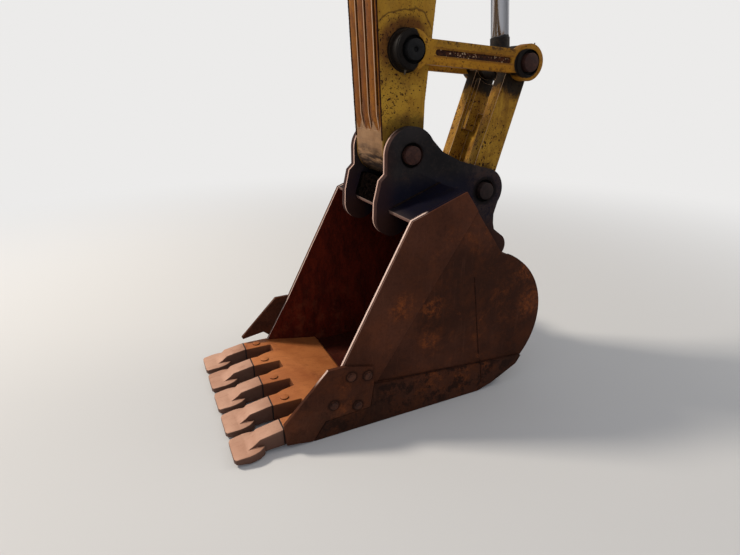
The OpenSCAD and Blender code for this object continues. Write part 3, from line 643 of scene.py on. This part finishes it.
# Two closed parts of a mesh that meet only in a line, taken apart along it
def partAlongLine(work):
    shared = [edge for edge in work.edges if len(edge.link_faces) > 2]
    if not shared:
        return
    found = set()
    queue = [shared[0].link_faces[0]]
    while queue:
        face = queue.pop()
        if face in found:
            continue
        found.add(face)
        for edge in face.edges:
            if len(edge.link_faces) == 2:
                queue += [other for other in edge.link_faces if other not in found]
    corners = {vert for face in found for vert in face.verts}
    sides = {edge for face in found for edge in face.edges}
    geom = [item for part in (corners, sides, found) for item in sorted(part, key=lambda item: item.index)]
    bmesh.ops.split(work, geom=geom)


# A node's shape with its doubles merged and its flat faces joined
def nodeShape(name, finish, edge=None):
    mesh = nodes[name].data.copy()
    mesh.materials.clear()
    mesh.materials.append(materials[finish])
    mesh.materials.append(materials[edge or finish])
    piece = newPiece(name + "_dressed", mesh)
    work = bmesh.new()
    work.from_mesh(mesh)
    bmesh.ops.remove_doubles(work, verts=work.verts, dist=cleaning["doubles"])
    for face in work.faces:
        face.material_index = 0
    partAlongLine(work)
    bmesh.ops.dissolve_limit(work, angle_limit=cleaning["flat"], verts=work.verts, edges=work.edges,
                             use_dissolve_boundaries=False)
    work.to_mesh(mesh)
    work.free()
    return piece


def roundEdges(piece, width):
    bevel = piece.modifiers.new("edges", "BEVEL")
    bevel.width = width
    bevel.segments = 2
    bevel.limit_method = "ANGLE"
    bevel.angle_limit = math.radians(cornerAngle)
    bevel.use_clamp_overlap = True
    bevel.material = 1
    return settle(piece, cornerAngle)


def standFor(piece, *names):
    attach(piece, bodyOf[names[0]])
    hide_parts(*names)


for name in nodes:
    if name in ("lip", "adapters"):
        continue
    width, edge = next((value for key, value in edges.items() if name.startswith(key)), plainEdge)
    piece = nodeShape(name, nodeFinish.get(name, slotFinish[slotOf[name]]), edge)
    standFor(roundEdges(piece, width), name)
print("nodes dressed")

# The adapters are cast with the lip, so both are made one skin
lip, adapters = (nodeShape(name, slotFinish["lip_rust"]) for name in ("lip", "adapters"))
joined = lip.modifiers.new("cast", "BOOLEAN")
joined.operation = "UNION"
joined.solver = "EXACT"
joined.object = adapters
settle(lip)
bpy.data.objects.remove(adapters)
lip.name = "lip_cast"
standFor(roundEdges(lip, plainEdge[0]), "lip", "adapters")
print("lip cast")


# Shapes of the CAD nodes, to set a detail on the face that carries it
class Faces:
    def __init__(self, *names):
        work = bmesh.new()
        for name in names:
            work.from_mesh(nodes[name].data)
        self.tree = BVHTree.FromBMesh(work)
        work.free()

    def drop(self, start, direction):  # where a ray meets them
        return self.tree.ray_cast(start, direction)[0]


def pieceFrom(work, name, finish):
    mesh = bpy.data.meshes.new(name)
    mesh.materials.append(materials[finish])
    work.to_mesh(mesh)
    work.free()
    return newPiece(name, mesh)


def carriedBy(piece, body, slot):
    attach(piece, body)


# A Geometry Nodes group with named inputs, filled by a function
def geometryGroup(name, inputs, fill):
    group = bpy.data.node_groups.new(name, "GeometryNodeTree")
    group.interface.new_socket("Geometry", in_out="INPUT", socket_type="NodeSocketGeometry")
    for label, (kind, value) in inputs.items():
        socket = group.interface.new_socket(label, in_out="INPUT", socket_type=kind)
        if value is not None:
            socket.default_value = value
    group.interface.new_socket("Geometry", in_out="OUTPUT", socket_type="NodeSocketGeometry")
    start = group.nodes.new("NodeGroupInput")
    end = group.nodes.new("NodeGroupOutput")

    def add(kind, settings=None, links=None):  # a node's first output
        made = group.nodes.new(kind)
        for key, value in (settings or {}).items():
            setattr(made, key, value)
        for key, value in (links or {}).items():
            for one in value if isinstance(value, list) else [value]:
                if isinstance(one, bpy.types.NodeSocket):
                    group.links.new(one, made.inputs[key])
                else:
                    made.inputs[key].default_value = one
        return made.outputs[0]
    group.links.new(fill(add, start.outputs), end.inputs[0])
    return group


def runGroup(piece, group, values):
    modifier = piece.modifiers.new(group.name, "NODES")
    modifier.node_group = group
    for item in group.interface.items_tree:
        if item.item_type == "SOCKET" and item.in_out == "INPUT" and item.name in values:
            modifier[item.identifier] = values[item.name]
    piece.data.update()
    return piece


def groupMath(add, operation, *values):
    return add("ShaderNodeMath", {"operation": operation}, dict(enumerate(values)))


# Instances made real, with the finish that the group is given
def realWith(add, given, geometry):
    real = add("GeometryNodeRealizeInstances", {}, {"Geometry": geometry})
    return add("GeometryNodeSetMaterial", {}, {"Geometry": real, "Material": given["Finish"]})


bead = {"sides": 8, "width": 0.72, "ripple": 0.1, "uneven": 0.5, "grain": 26.0, "ripplePitch": 2.6}


# A round bead along each line, with ripples across it and an uneven width
def beadTree(add, given):
    line = add("GeometryNodeMeshToCurve", {}, {"Mesh": given["Geometry"]})
    fine = add("GeometryNodeResampleCurve", {"mode": "LENGTH"}, {"Curve": line, "Length": given["Step"]})
    travelled = add("GeometryNodeSplineParameter").node.outputs["Length"]
    ripple = groupMath(add, "SINE", groupMath(add, "MULTIPLY", travelled, given["Ripples"]))
    rough = add("ShaderNodeTexNoise", {"noise_dimensions": "3D"}, {"Scale": bead["grain"], "Detail": 2.0})
    width = groupMath(add, "MULTIPLY_ADD", ripple, bead["ripple"], bead["width"])
    width = groupMath(add, "MULTIPLY_ADD", rough, bead["uneven"], width)
    ring = add("GeometryNodeCurvePrimitiveCircle", {}, {
        "Resolution": bead["sides"], "Radius": given["Radius"]})
    return realWith(add, given, add("GeometryNodeCurveToMesh", {}, {
        "Curve": fine, "Profile Curve": ring, "Scale": width, "Fill Caps": True}))


beadGroup = geometryGroup("weldBead", {
    "Radius": ("NodeSocketFloat", 0.005), "Step": ("NodeSocketFloat", 0.004),
    "Ripples": ("NodeSocketFloat", 900.0), "Finish": ("NodeSocketMaterial", None)}, beadTree)


# One piece of weld beads along lines of points
def weldLines(name, body, slot, lines, finish, radius=0.005, step=0.005):
    mesh = bpy.data.meshes.new(name)
    points, pairs = [], []
    for line in lines:
        base = len(points)
        points += [tuple(point) for point in line]
        pairs += [(base + i, base + i + 1) for i in range(len(line) - 1)]
    mesh.from_pydata(points, pairs, [])
    piece = newPiece(name, mesh)
    runGroup(piece, beadGroup, {
        "Radius": radius, "Step": step, "Ripples": 2 * math.pi / (step * bead["ripplePitch"]),
        "Finish": materials[finish]})
    carriedBy(settle(piece, 60), body, slot)


def circle(pin, y, radius, start=0, sweep=360, count=40):
    angles = [math.radians(start + sweep * i / count) for i in range(count + 1)]
    return [Vector((pin.x + radius * math.cos(a), y, pin.z + radius * math.sin(a))) for a in angles]


# The same line at the other side, which mirrors across the centre plane
def bothSides(lines):
    return lines + [[Vector((p.x, -p.y, p.z)) for p in line] for line in lines]


def flatLine(points, y):
    return [fromPin(x, z, y) for x, z in points]


# Lines of the side view, from the bucket pin, each with its place across
bucketSeams = {"radius": 0.0045, "lines": (
    (0.459, ((0.238, -0.249), (-0.332, -1.062))),
    (0.455, ((0.250, -0.596), (0.318, -1.062))),
    (0.475, ((0.320, -1.096), (0.340, -1.24))),
    (0.463, ((-0.320, -1.062), (-0.215, -1.075), (-0.018, -1.090), (0.268, -1.114), (0.433, -1.127),
             (0.592, -1.138))),
)}
lines = bothSides([flatLine(line, y) for y, line in bucketSeams["lines"]])
weldLines("bucket_side_seams", "bucket", "bucket_rust", lines, "rustedWeld", bucketSeams["radius"])

stickSeams = {
    "plateY": 0.152, "bossY": 0.161, "radius": 0.005, "step": 0.007,
    "front": ((-0.129, 0.070), (-0.285, 2.891), (-0.284, 2.920), (-0.272, 2.961), (-0.060, 3.455)),
    "rear": ((0.098, 0.251), (0.300, 2.350), (0.322, 2.950), (0.254, 3.390)),
    "bosses": ((boomPivot, 0.121), (tailPin, 0.086), (bucketPin, 0.101, 20, 140)),  # radius, start, sweep
    "linkBoss": 0.093, "linkBossBead": 0.004,
}
s = stickSeams
for name, finish in (("front", "rustedWeld"), ("rear", "paintedWeld")):
    lines = bothSides([flatLine(s[name], s["plateY"])])
    weldLines("stick_" + name + "_seams", "stick", "stick_paint", lines, finish, s["radius"], s["step"])
lines = bothSides([circle(pin, s["bossY"], *arc) for pin, *arc in s["bosses"]])
weldLines("stick_boss_seams", "stick", "stick_paint", lines, "paintedWeld", s["radius"])
lines = bothSides([circle(linkPin, s["bossY"], s["linkBoss"])])
weldLines("link_boss_seams", "stick", "stick_paint", lines, "greasyWeld", s["linkBossBead"])

barSeams = {"foot": (-0.1385, 0.230), "top": (-0.2117, 1.560), "radius": 0.0022, "step": 0.006,
            "half": 0.033, "pitch": 0.090}
s = barSeams
lines = [flatLine((s["foot"], s["top"]), i * s["pitch"] + side * s["half"])
         for i in (-1, 0, 1) for side in (-1, 1)]
weldLines("wear_bar_seams", "stick", "stick_paint", lines, "greasyWeld", s["radius"], s["step"])

footSeams = {
    "earRuns": ((0.221, -0.02, -0.1), (0.174, 0.02, 0.18)),  # place across, step into the ear, start
    "earStep": 0.006, "earTop": 0.4, "earRear": 0.56, "heel": (0.30, -0.86), "reach": 1.2, "jump": 0.08,
    "spoke": 2, "firstSpoke": -166, "strapSpokes": 96, "shellSpokes": 116,  # degrees, then counts
    "strapRuns": ((0.3, 1), (0.3, -1), (0.0, 1)),  # a strap's middle and the side of it
    "strapHalf": 0.061, "strapStep": 0.03, "shellHalf": 0.435, "crossHalf": 0.434,
    "crossDepths": (0.001, 0.012),  # of the beads in the corner where the slope meets the heel
    "earBead": (0.007, 0.006), "strapBead": (0.005, 0.006), "shellBead": (0.004, 0.007),  # radius, step
}
s = footSeams


seatGap = 0.002  # what counts as a plate that stands above the one that carries it


# The foot of a standing plate on the plate that carries it, found by casting a
# ray beside the standing plate and one through it from each start
def footLines(carrier, standing, starts, direction, inward):
    found = [[]]
    for start in starts:
        spot = carrier.drop(start, direction)
        cover = standing.drop(start + inward, direction)
        stands = spot and cover and (cover - start - inward).length < (spot - start).length - seatGap
        if stands and (not found[-1] or (spot - found[-1][-1]).length < footSeams["jump"]):
            found[-1].append(spot)
        elif found[-1]:
            found.append([spot] if stands else [])
    return [line for line in found if len(line) > 2]


# Points of the shell's skin seen from outside along spokes at one place across,
# only under the strap that stands there if one is given
def skinLines(y, spokes, strap=None, inward=0.0):
    found = [[]]
    heart = fromPin(*footSeams["heel"])
    for i in range(spokes):
        angle = math.radians(footSeams["firstSpoke"] + footSeams["spoke"] * i)
        out = Vector((math.cos(angle), 0, math.sin(angle)))
        start = heart + out * footSeams["reach"] + Vector((0, y, 0))
        spot = shell.drop(start, -out)
        cover = strap.drop(start + Vector((0, inward, 0)), -out) if strap else start
        if not spot or not cover or (cover - start).length >= (spot - start).length:
            continue
        if found[-1] and (spot - found[-1][-1]).length > footSeams["jump"]:
            found.append([])
        found[-1].append(spot)
    return [line for line in found if len(line) > 2]


shell, ears, straps = Faces("bucket_shell"), Faces("ear_left", "ear_right"), Faces("wear_straps")
lines = []
for y, inward, first in s["earRuns"]:
    count = int((s["earRear"] - first) / s["earStep"])
    starts = [fromPin(first + s["earStep"] * i, s["earTop"], y) for i in range(count)]
    lines += footLines(shell, ears, starts, Vector((0, 0, -1)), Vector((0, inward, 0)))
weldLines("ear_foot_seams", "bucket", "bucket_rust", bothSides(lines), "greasyWeld", *s["earBead"])

lines = []
for centre, side in s["strapRuns"]:
    lines += skinLines(centre + side * s["strapHalf"], s["strapSpokes"], straps, -side * s["strapStep"])
weldLines("strap_seams", "bucket", "bucket_rust", bothSides(lines), "rustedWeld", *s["strapBead"])
lines = bothSides(skinLines(s["shellHalf"], s["shellSpokes"]))
slopeBack = Vector((-0.56, 0, -0.828))  # from the line where the slope meets the heel, into the bucket
across = Vector((0, s["crossHalf"], 0))
for depth in s["crossDepths"]:
    place = heelStart + slopeBack * depth
    lines.append([place - across, place + across])
weldLines("shell_seams", "bucket", "bucket_rust", lines, "rustedWeld", *s["shellBead"])

lugSeams = {"y": 0.097, "rear": 0.9, "low": 1.9, "step": 0.012, "count": 90, "bead": (0.006, 0.006)}
s = lugSeams
lugs, rearPlate = Faces("cylinder_lugs"), Faces("stick_rear_plate")
starts = [fromPin(s["rear"], s["low"] + s["step"] * i, s["y"]) for i in range(s["count"])]
lines = footLines(rearPlate, lugs, starts, Vector((-1, 0, 0)), Vector((0, -0.015, 0)))
weldLines("lug_seams", "stick", "stick_paint", bothSides(lines), "paintedWeld", *s["bead"])
print("welds laid")


bolt = {"washerSides": 20, "body": 0.8, "crown": 0.2, "chamfer": 0.78}  # the last three are shares


# Bolt heads on points: a washer, a head with as many sides as asked and a chamfer
def boltTree(add, given):
    radius, height, washer = given["Radius"], given["Height"], given["Washer"]

    def cone(sides, top, bottom, depth):
        return add("GeometryNodeMeshCone", {"fill_type": "NGON"}, {
            "Vertices": sides, "Radius Top": top, "Radius Bottom": bottom, "Depth": depth})
    ring = cone(bolt["washerSides"], washer, washer, given["Washer Thickness"])
    bodyHeight = groupMath(add, "MULTIPLY", height, bolt["body"])
    head = cone(given["Sides"], radius, radius, bodyHeight)
    crown = cone(given["Sides"], groupMath(add, "MULTIPLY", radius, bolt["chamfer"]), radius,
                 groupMath(add, "MULTIPLY", height, bolt["crown"]))
    lift = add("ShaderNodeCombineXYZ", {}, {"Z": bodyHeight})
    raised = add("GeometryNodeTransform", {}, {"Geometry": crown, "Translation": lift})
    whole = add("GeometryNodeJoinGeometry", {}, {0: [ring, head, raised]})
    turn = add("FunctionNodeAlignRotationToVector", {"axis": "Z"}, {"Vector": given["Axis"]})
    random = add("FunctionNodeRandomValue", {"data_type": "FLOAT"}, {
        2: 0.0, 3: 6.28, "Seed": given["Seed"]})  # up to a full turn
    about = add("FunctionNodeAxisAngleToRotation", {}, {
        "Axis": (0.0, 0.0, 1.0), "Angle": random.node.outputs[1]})
    turned = add("FunctionNodeRotateRotation", {"rotation_space": "LOCAL"}, {
        "Rotation": turn, "Rotate By": about})
    return realWith(add, given, add("GeometryNodeInstanceOnPoints", {}, {
        "Points": given["Geometry"], "Instance": whole, "Rotation": turned}))


boltGroup = geometryGroup("boltHeads", {
    "Radius": ("NodeSocketFloat", 0.018), "Height": ("NodeSocketFloat", 0.012),
    "Washer": ("NodeSocketFloat", 0.022), "Washer Thickness": ("NodeSocketFloat", 0.003),
    "Sides": ("NodeSocketInt", 6), "Axis": ("NodeSocketVector", (0.0, 0.0, 1.0)),
    "Seed": ("NodeSocketInt", 3), "Finish": ("NodeSocketMaterial", None)}, boltTree)


# One piece of bolt heads that all face the same way
def boltHeads(name, body, slot, places, axis, settings):
    s = {"sides": 6, "washer": 1.25, "finish": "boltRust"} | settings
    mesh = bpy.data.meshes.new(name)
    mesh.from_pydata([tuple(place) for place in places], [], [])
    piece = newPiece(name, mesh)
    runGroup(piece, boltGroup, {
        "Radius": s["radius"], "Height": s["height"], "Washer": s["radius"] * s["washer"],
        "Sides": s["sides"], "Axis": tuple(axis), "Finish": materials[s["finish"]]})
    carriedBy(settle(piece, 28), body, slot)


cutterBolts = {"radius": 0.019, "height": 0.013, "sides": 14, "y": 0.476}
for side, sign in (("left", 1), ("right", -1)):
    places = [fromPin(x, z, sign * cutterBolts["y"]) for x, z in cutterHoles]
    boltHeads("cutter_bolts_" + side, "bucket", "bucket_rust", places, (0, sign, 0), cutterBolts)

adapterBolts = {
    "radius": 0.022, "height": 0.009, "sides": 18, "washer": 1.0, "finish": "lipOrange",
    "x": -0.722, "z": -1.188, "pitch": 0.208, "shift": -0.006,
}
s = adapterBolts
places = [fromPin(s["x"], s["z"], i * s["pitch"] + s["shift"]) for i in range(-2, 3)]
boltHeads("adapter_bolts", "bucket", "lip_rust", places, (0, 0, 1), s)

# The cylinder's own line, from its base pin to the rod eye
cylinderAhead = (commonPin - basePin).normalized()
cylinderOut = Vector((-cylinderAhead.z, 0.0, cylinderAhead.x))  # away from the stick


def onCylinder(run, radius, angle):
    outward = cylinderOut * math.cos(angle) + Vector((0, 1, 0)) * math.sin(angle)
    return basePin + cylinderAhead * run + outward * radius


gland = {
    "run": 1.399, "boltCircle": 0.073, "bolts": 8, "radius": 0.009, "height": 0.008, "washer": 1.0,
    "finish": "cylinderYellow",
}
s = gland
turn = 2 * math.pi / s["bolts"]
places = [onCylinder(s["run"], s["boltCircle"], turn * (i + 0.5)) for i in range(s["bolts"])]
boltHeads("gland_bolts", "cylinder", "cylinder_paint", places, cylinderAhead, s)

clamps = {
    "runs": (0.45, 0.80, 1.12), "radius": 0.0775, "thick": 0.004, "width": 0.034, "lift": 0.0006,
    "pipe": 0.0995, "pipeRadius": 0.014, "slack": 0.004, "bandSteps": 48, "loopSteps": 12,
}


# Bands round the barrel that hold the feed pipe, each with a loop over the pipe
def pipeClamps(s):
    spread = math.asin((s["pipeRadius"] + s["slack"]) / s["radius"])
    outline = []  # the centre that each point runs round, its angle and its radius
    for i in range(s["bandSteps"] + 1):
        angle = spread + 2 * (math.pi - spread) * i / s["bandSteps"]
        outline.append((Vector((0.0, 0.0)), angle, s["radius"]))
    for i in range(s["loopSteps"] + 1):
        angle = math.pi * (i / s["loopSteps"] - 0.5)
        outline.append((Vector((s["pipe"], 0.0)), angle, s["pipeRadius"]))
    work = bmesh.new()
    for run in s["runs"]:
        rows = []
        for offset in (s["lift"], s["lift"] + s["thick"]):
            for half in (-0.5, 0.5):
                place = basePin + cylinderAhead * (run + half * s["width"])
                row = []
                for centre, angle, radius in outline:
                    spot = centre + Vector((math.cos(angle), math.sin(angle))) * (radius + offset)
                    row.append(work.verts.new(place + cylinderOut * spot.x + Vector((0, spot.y, 0))))
                rows.append(row)
        for k in range(len(outline)):
            n = (k + 1) % len(outline)
            for a, b in ((0, 1), (1, 3), (3, 2), (2, 0)):
                work.faces.new((rows[a][k], rows[a][n], rows[b][n], rows[b][k]))
    bmesh.ops.recalc_face_normals(work, faces=work.faces)
    piece = pieceFrom(work, "pipe_clamps", "cylinderYellow")
    carriedBy(settle(piece, 30), "cylinder", "cylinder_paint")


pipeClamps(clamps)

portPlugs = {"runs": (0.212, 1.292), "top": 0.1145, "radius": 0.013, "height": 0.010}
places = [onCylinder(run, portPlugs["top"], 0.0) for run in portPlugs["runs"]]
boltHeads("port_plugs", "cylinder", "cylinder_paint", places, cylinderOut, portPlugs)

nippleShape = {
    "radius": 0.006, "ball": 0.58, "ballLift": 0.0155,
    "cones": ((6, 1.0, 1.0, 0.005, 0.0), (12, 0.62, 0.45, 0.010, 0.005)),  # sides, foot, top, depth, lift
}


# Grease nipples, each a hexagon, a stem and a ball, along the points' own directions
def nippleTree(add, given):
    def sized(share):
        return groupMath(add, "MULTIPLY", given["Radius"], share)

    def lifted(geometry, lift):
        return add("GeometryNodeTransform", {}, {"Geometry": geometry, "Translation": (0.0, 0.0, lift)})
    parts = []
    for sides, foot, top, depth, lift in nippleShape["cones"]:
        cone = add("GeometryNodeMeshCone", {"fill_type": "NGON"}, {
            "Vertices": sides, "Radius Top": sized(top), "Radius Bottom": sized(foot), "Depth": depth})
        parts.append(lifted(cone, lift))
    ball = add("GeometryNodeMeshUVSphere", {}, {
        "Segments": 12, "Rings": 8, "Radius": sized(nippleShape["ball"])})
    parts.append(lifted(ball, nippleShape["ballLift"]))
    ways = add("GeometryNodeInputNamedAttribute", {"data_type": "FLOAT_VECTOR"}, {"Name": "outward"})
    turn = add("FunctionNodeAlignRotationToVector", {"axis": "Z"}, {"Vector": ways})
    nipple = add("GeometryNodeJoinGeometry", {}, {0: parts})
    return realWith(add, given, add("GeometryNodeInstanceOnPoints", {}, {
        "Points": given["Geometry"], "Instance": nipple, "Rotation": turn}))


nippleGroup = geometryGroup("greaseNipples", {
    "Radius": ("NodeSocketFloat", nippleShape["radius"]),
    "Finish": ("NodeSocketMaterial", None)}, nippleTree)
nipples = {  # body: slot, then pin, radius, angle and place across of each nipple
    "side_links": ("link_paint", ((linkPin, 0.0875, 255, 0.202), (commonPin, 0.0875, 62, 0.202))),
    "h_link_frame": ("link_paint", ((earPin, 0.0915, 8, 0.130),)),
    "stick": ("stick_paint", ((tailPin, 0.0845, 40, 0.116), (basePin, 0.0895, 60, 0.076))),
    "cylinder": ("cylinder_paint", ((basePin, 0.0845, 35, 0.0),)),
    "piston_rod": ("eye_steel", ((commonPin, 0.0845, 50, 0.0),)),
}


def greaseNipples(body, slot, places):
    mesh = bpy.data.meshes.new(body + "_nipples")
    points, ways = [], []
    for pin, radius, angle, across in places:
        way = Vector((math.cos(math.radians(angle)), 0, math.sin(math.radians(angle))))
        for y in sorted({across, -across}):
            points.append(tuple(pin + way * radius + Vector((0, y, 0))))
            ways += list(way)
    mesh.from_pydata(points, [], [])
    mesh.attributes.new("outward", "FLOAT_VECTOR", "POINT").data.foreach_set("vector", ways)
    piece = newPiece(body + "_nipples", mesh)
    runGroup(piece, nippleGroup, {"Finish": materials["nippleSteel"]})
    carriedBy(settle(piece, 30), body, slot)


for body, (slot, places) in nipples.items():
    greaseNipples(body, slot, places)

crust = {
    "halfWidth": 0.168, "low": -0.246, "high": -0.134, "across": 70, "up": 34, "rim": 4,
    "thick": 0.011, "sink": 0.001, "wall": 0.003, "lumps": 42.0, "clods": 90.0,
}


# Greasy soil packed on the guard between the ears
def guardCrust(s):
    guard = Faces("hinge_guard")
    ahead = Vector((1, 0, -0.2)).normalized()
    work = bmesh.new()
    grid = []
    for i in range(s["up"] + 1):
        row = []
        for j in range(s["across"] + 1):
            y = s["halfWidth"] * (2 * j / s["across"] - 1)
            z = s["low"] + (s["high"] - s["low"]) * i / s["up"]
            hit, normal = guard.tree.ray_cast(fromPin(-0.5, z + 0.08, y), ahead)[:2]
            if hit is None:
                row.append(None)
                continue
            rim = min(1.0, min(i, s["up"] - i, j, s["across"] - j) / s["rim"])
            height = noise.fractal(hit * s["lumps"], 0.6, 2.0, 4) * 0.5 + 0.45
            height += max(0.0, noise.noise(hit * s["clods"] + Vector((3, 1, 2)))) * 0.6
            rise = s["thick"] * rim * max(0.05, height) - s["sink"]
            row.append(work.verts.new(hit + normal * rise))
        grid.append(row)
    for i in range(s["up"]):
        for j in range(s["across"]):
            corners = (grid[i][j], grid[i][j + 1], grid[i + 1][j + 1], grid[i + 1][j])
            if all(corners):
                work.faces.new(corners)
    bmesh.ops.recalc_face_normals(work, faces=work.faces)
    piece = pieceFrom(work, "guard_crust", "packedSoil")
    if sum(face.normal.x for face in piece.data.polygons) > 0:  # they face forwards, away from the guard
        piece.data.flip_normals()
    wall = piece.modifiers.new("wall", "SOLIDIFY")
    wall.thickness = s["wall"]
    wall.offset = -1
    carriedBy(settle(piece, 50), "bucket", "bucket_rust")


guardCrust(crust)
print("bolts, clamps and soil added")

camera = {
    "place": (-1.104, -2.341, -2.565), "yaw": 25.334, "pitch": 21.731, "roll": -0.233,
    "focalPixels": 491.356, "imageWidth": 740, "sensor": 36.0,
}


def setCamera(cam):
    yaw, pitch, roll = (math.radians(cam[key]) for key in ("yaw", "pitch", "roll"))
    ahead = Vector((math.sin(yaw) * math.cos(pitch), math.cos(yaw) * math.cos(pitch), -math.sin(pitch)))
    level = Vector((math.cos(yaw), -math.sin(yaw), 0.0))
    upright = level.cross(ahead)
    right = level * math.cos(roll) + upright * math.sin(roll)
    up = upright * math.cos(roll) - level * math.sin(roll)
    data = bpy.data.cameras.new("camera")
    data.sensor_width = cam["sensor"]
    data.lens = cam["focalPixels"] / cam["imageWidth"] * cam["sensor"]
    made = newPiece("camera", data)
    made.matrix_world = Matrix((
        (right.x, up.x, -ahead.x, cam["place"][0]), (right.y, up.y, -ahead.y, cam["place"][1]),
        (right.z, up.z, -ahead.z, cam["place"][2]), (0, 0, 0, 1)))
    bpy.context.scene.camera = made


studio = {
    "floorSize": 120.0, "floorTone": (204, 203, 202), "floorRough": 0.95, "floorDrop": 0.0005,
    "backdrop": (236, 235, 234), "backdropLevel": 1.0, "fadeStart": 1.6, "fadeEnd": 7.0,
    "worldTone": (222, 226, 234), "worldStrength": 0.44,
    "lamps": {  # name: place, aim, size, power, tone
        "key": ((-5.6, 4.4, 3.4), (0.1, 0.0, -3.5), 1.6, 900, (255, 246, 232)),
        "fill": ((-2.5, -7.0, 0.5), (0.2, 0.0, -3.0), 6.0, 100, (228, 236, 255)),
        "rim": ((6.0, -1.0, 1.5), (0.2, 0.0, -2.6), 3.0, 120, (255, 250, 240)),
    },
}


# A floor that fades into the backdrop, so that no horizon shows
def setStudio(s):
    bpy.ops.mesh.primitive_plane_add(size=s["floorSize"], location=(0, 0, 0))
    floor = bpy.context.active_object
    floor.name = "floor"
    floor.location = (0.0, 0.0, groundZ - s["floorDrop"])
    f = Finish("floorPale")
    f.base = shade(*s["floorTone"])
    f.finish(s["floorRough"])
    far = f.node("ShaderNodeVectorMath", {"operation": "DISTANCE"}, f.place, (0.1, 0.0, 0.0))
    fade = Wire(f, far.outputs["Value"]).rise(s["fadeStart"], s["fadeEnd"])
    seen = f.node("ShaderNodeLightPath", {})
    share = fade * Wire(f, seen.outputs["Is Camera Ray"])
    glow = f.node("ShaderNodeEmission", {}, shade(*s["backdrop"]), s["backdropLevel"])
    blend = f.node("ShaderNodeMixShader", {}, share)
    f.tree.links.new(f.shader.outputs[0], blend.inputs[1])
    f.tree.links.new(glow.outputs[0], blend.inputs[2])
    f.tree.links.new(blend.outputs[0], f.out.inputs[0])
    floor.data.materials.append(f.material)

    world = bpy.data.worlds.new("studio")
    bpy.context.scene.world = world
    world.use_nodes = True
    tree = world.node_tree
    light, plain = tree.nodes["Background"], tree.nodes.new("ShaderNodeBackground")
    for made, tone, level in ((light, "worldTone", "worldStrength"), (plain, "backdrop", "backdropLevel")):
        made.inputs[0].default_value = shade(*s[tone])
        made.inputs[1].default_value = s[level]
    seen = tree.nodes.new("ShaderNodeLightPath").outputs
    either = tree.nodes.new("ShaderNodeMath")  # seen by the camera or in a reflection
    either.operation = "MAXIMUM"
    blend = tree.nodes.new("ShaderNodeMixShader")
    for start, end in (
            (seen["Is Camera Ray"], either.inputs[0]), (seen["Is Glossy Ray"], either.inputs[1]),
            (either.outputs[0], blend.inputs[0]), (light.outputs[0], blend.inputs[1]),
            (plain.outputs[0], blend.inputs[2]), (blend.outputs[0], tree.nodes["World Output"].inputs[0])):
        tree.links.new(start, end)
    for name, (place, aim, size, power, tone) in s["lamps"].items():
        data = bpy.data.lights.new(name, "AREA")
        data.size = size
        data.energy = power
        data.color = shade(*tone)[:3]
        lamp = newPiece(name, data)
        lamp.location = place
        lamp.rotation_euler = (Vector(aim) - Vector(place)).to_track_quat("-Z", "Y").to_euler()
    bpy.context.scene.view_settings.view_transform = "Standard"


setCamera(camera)
setStudio(studio)
bpy.context.view_layer.update()
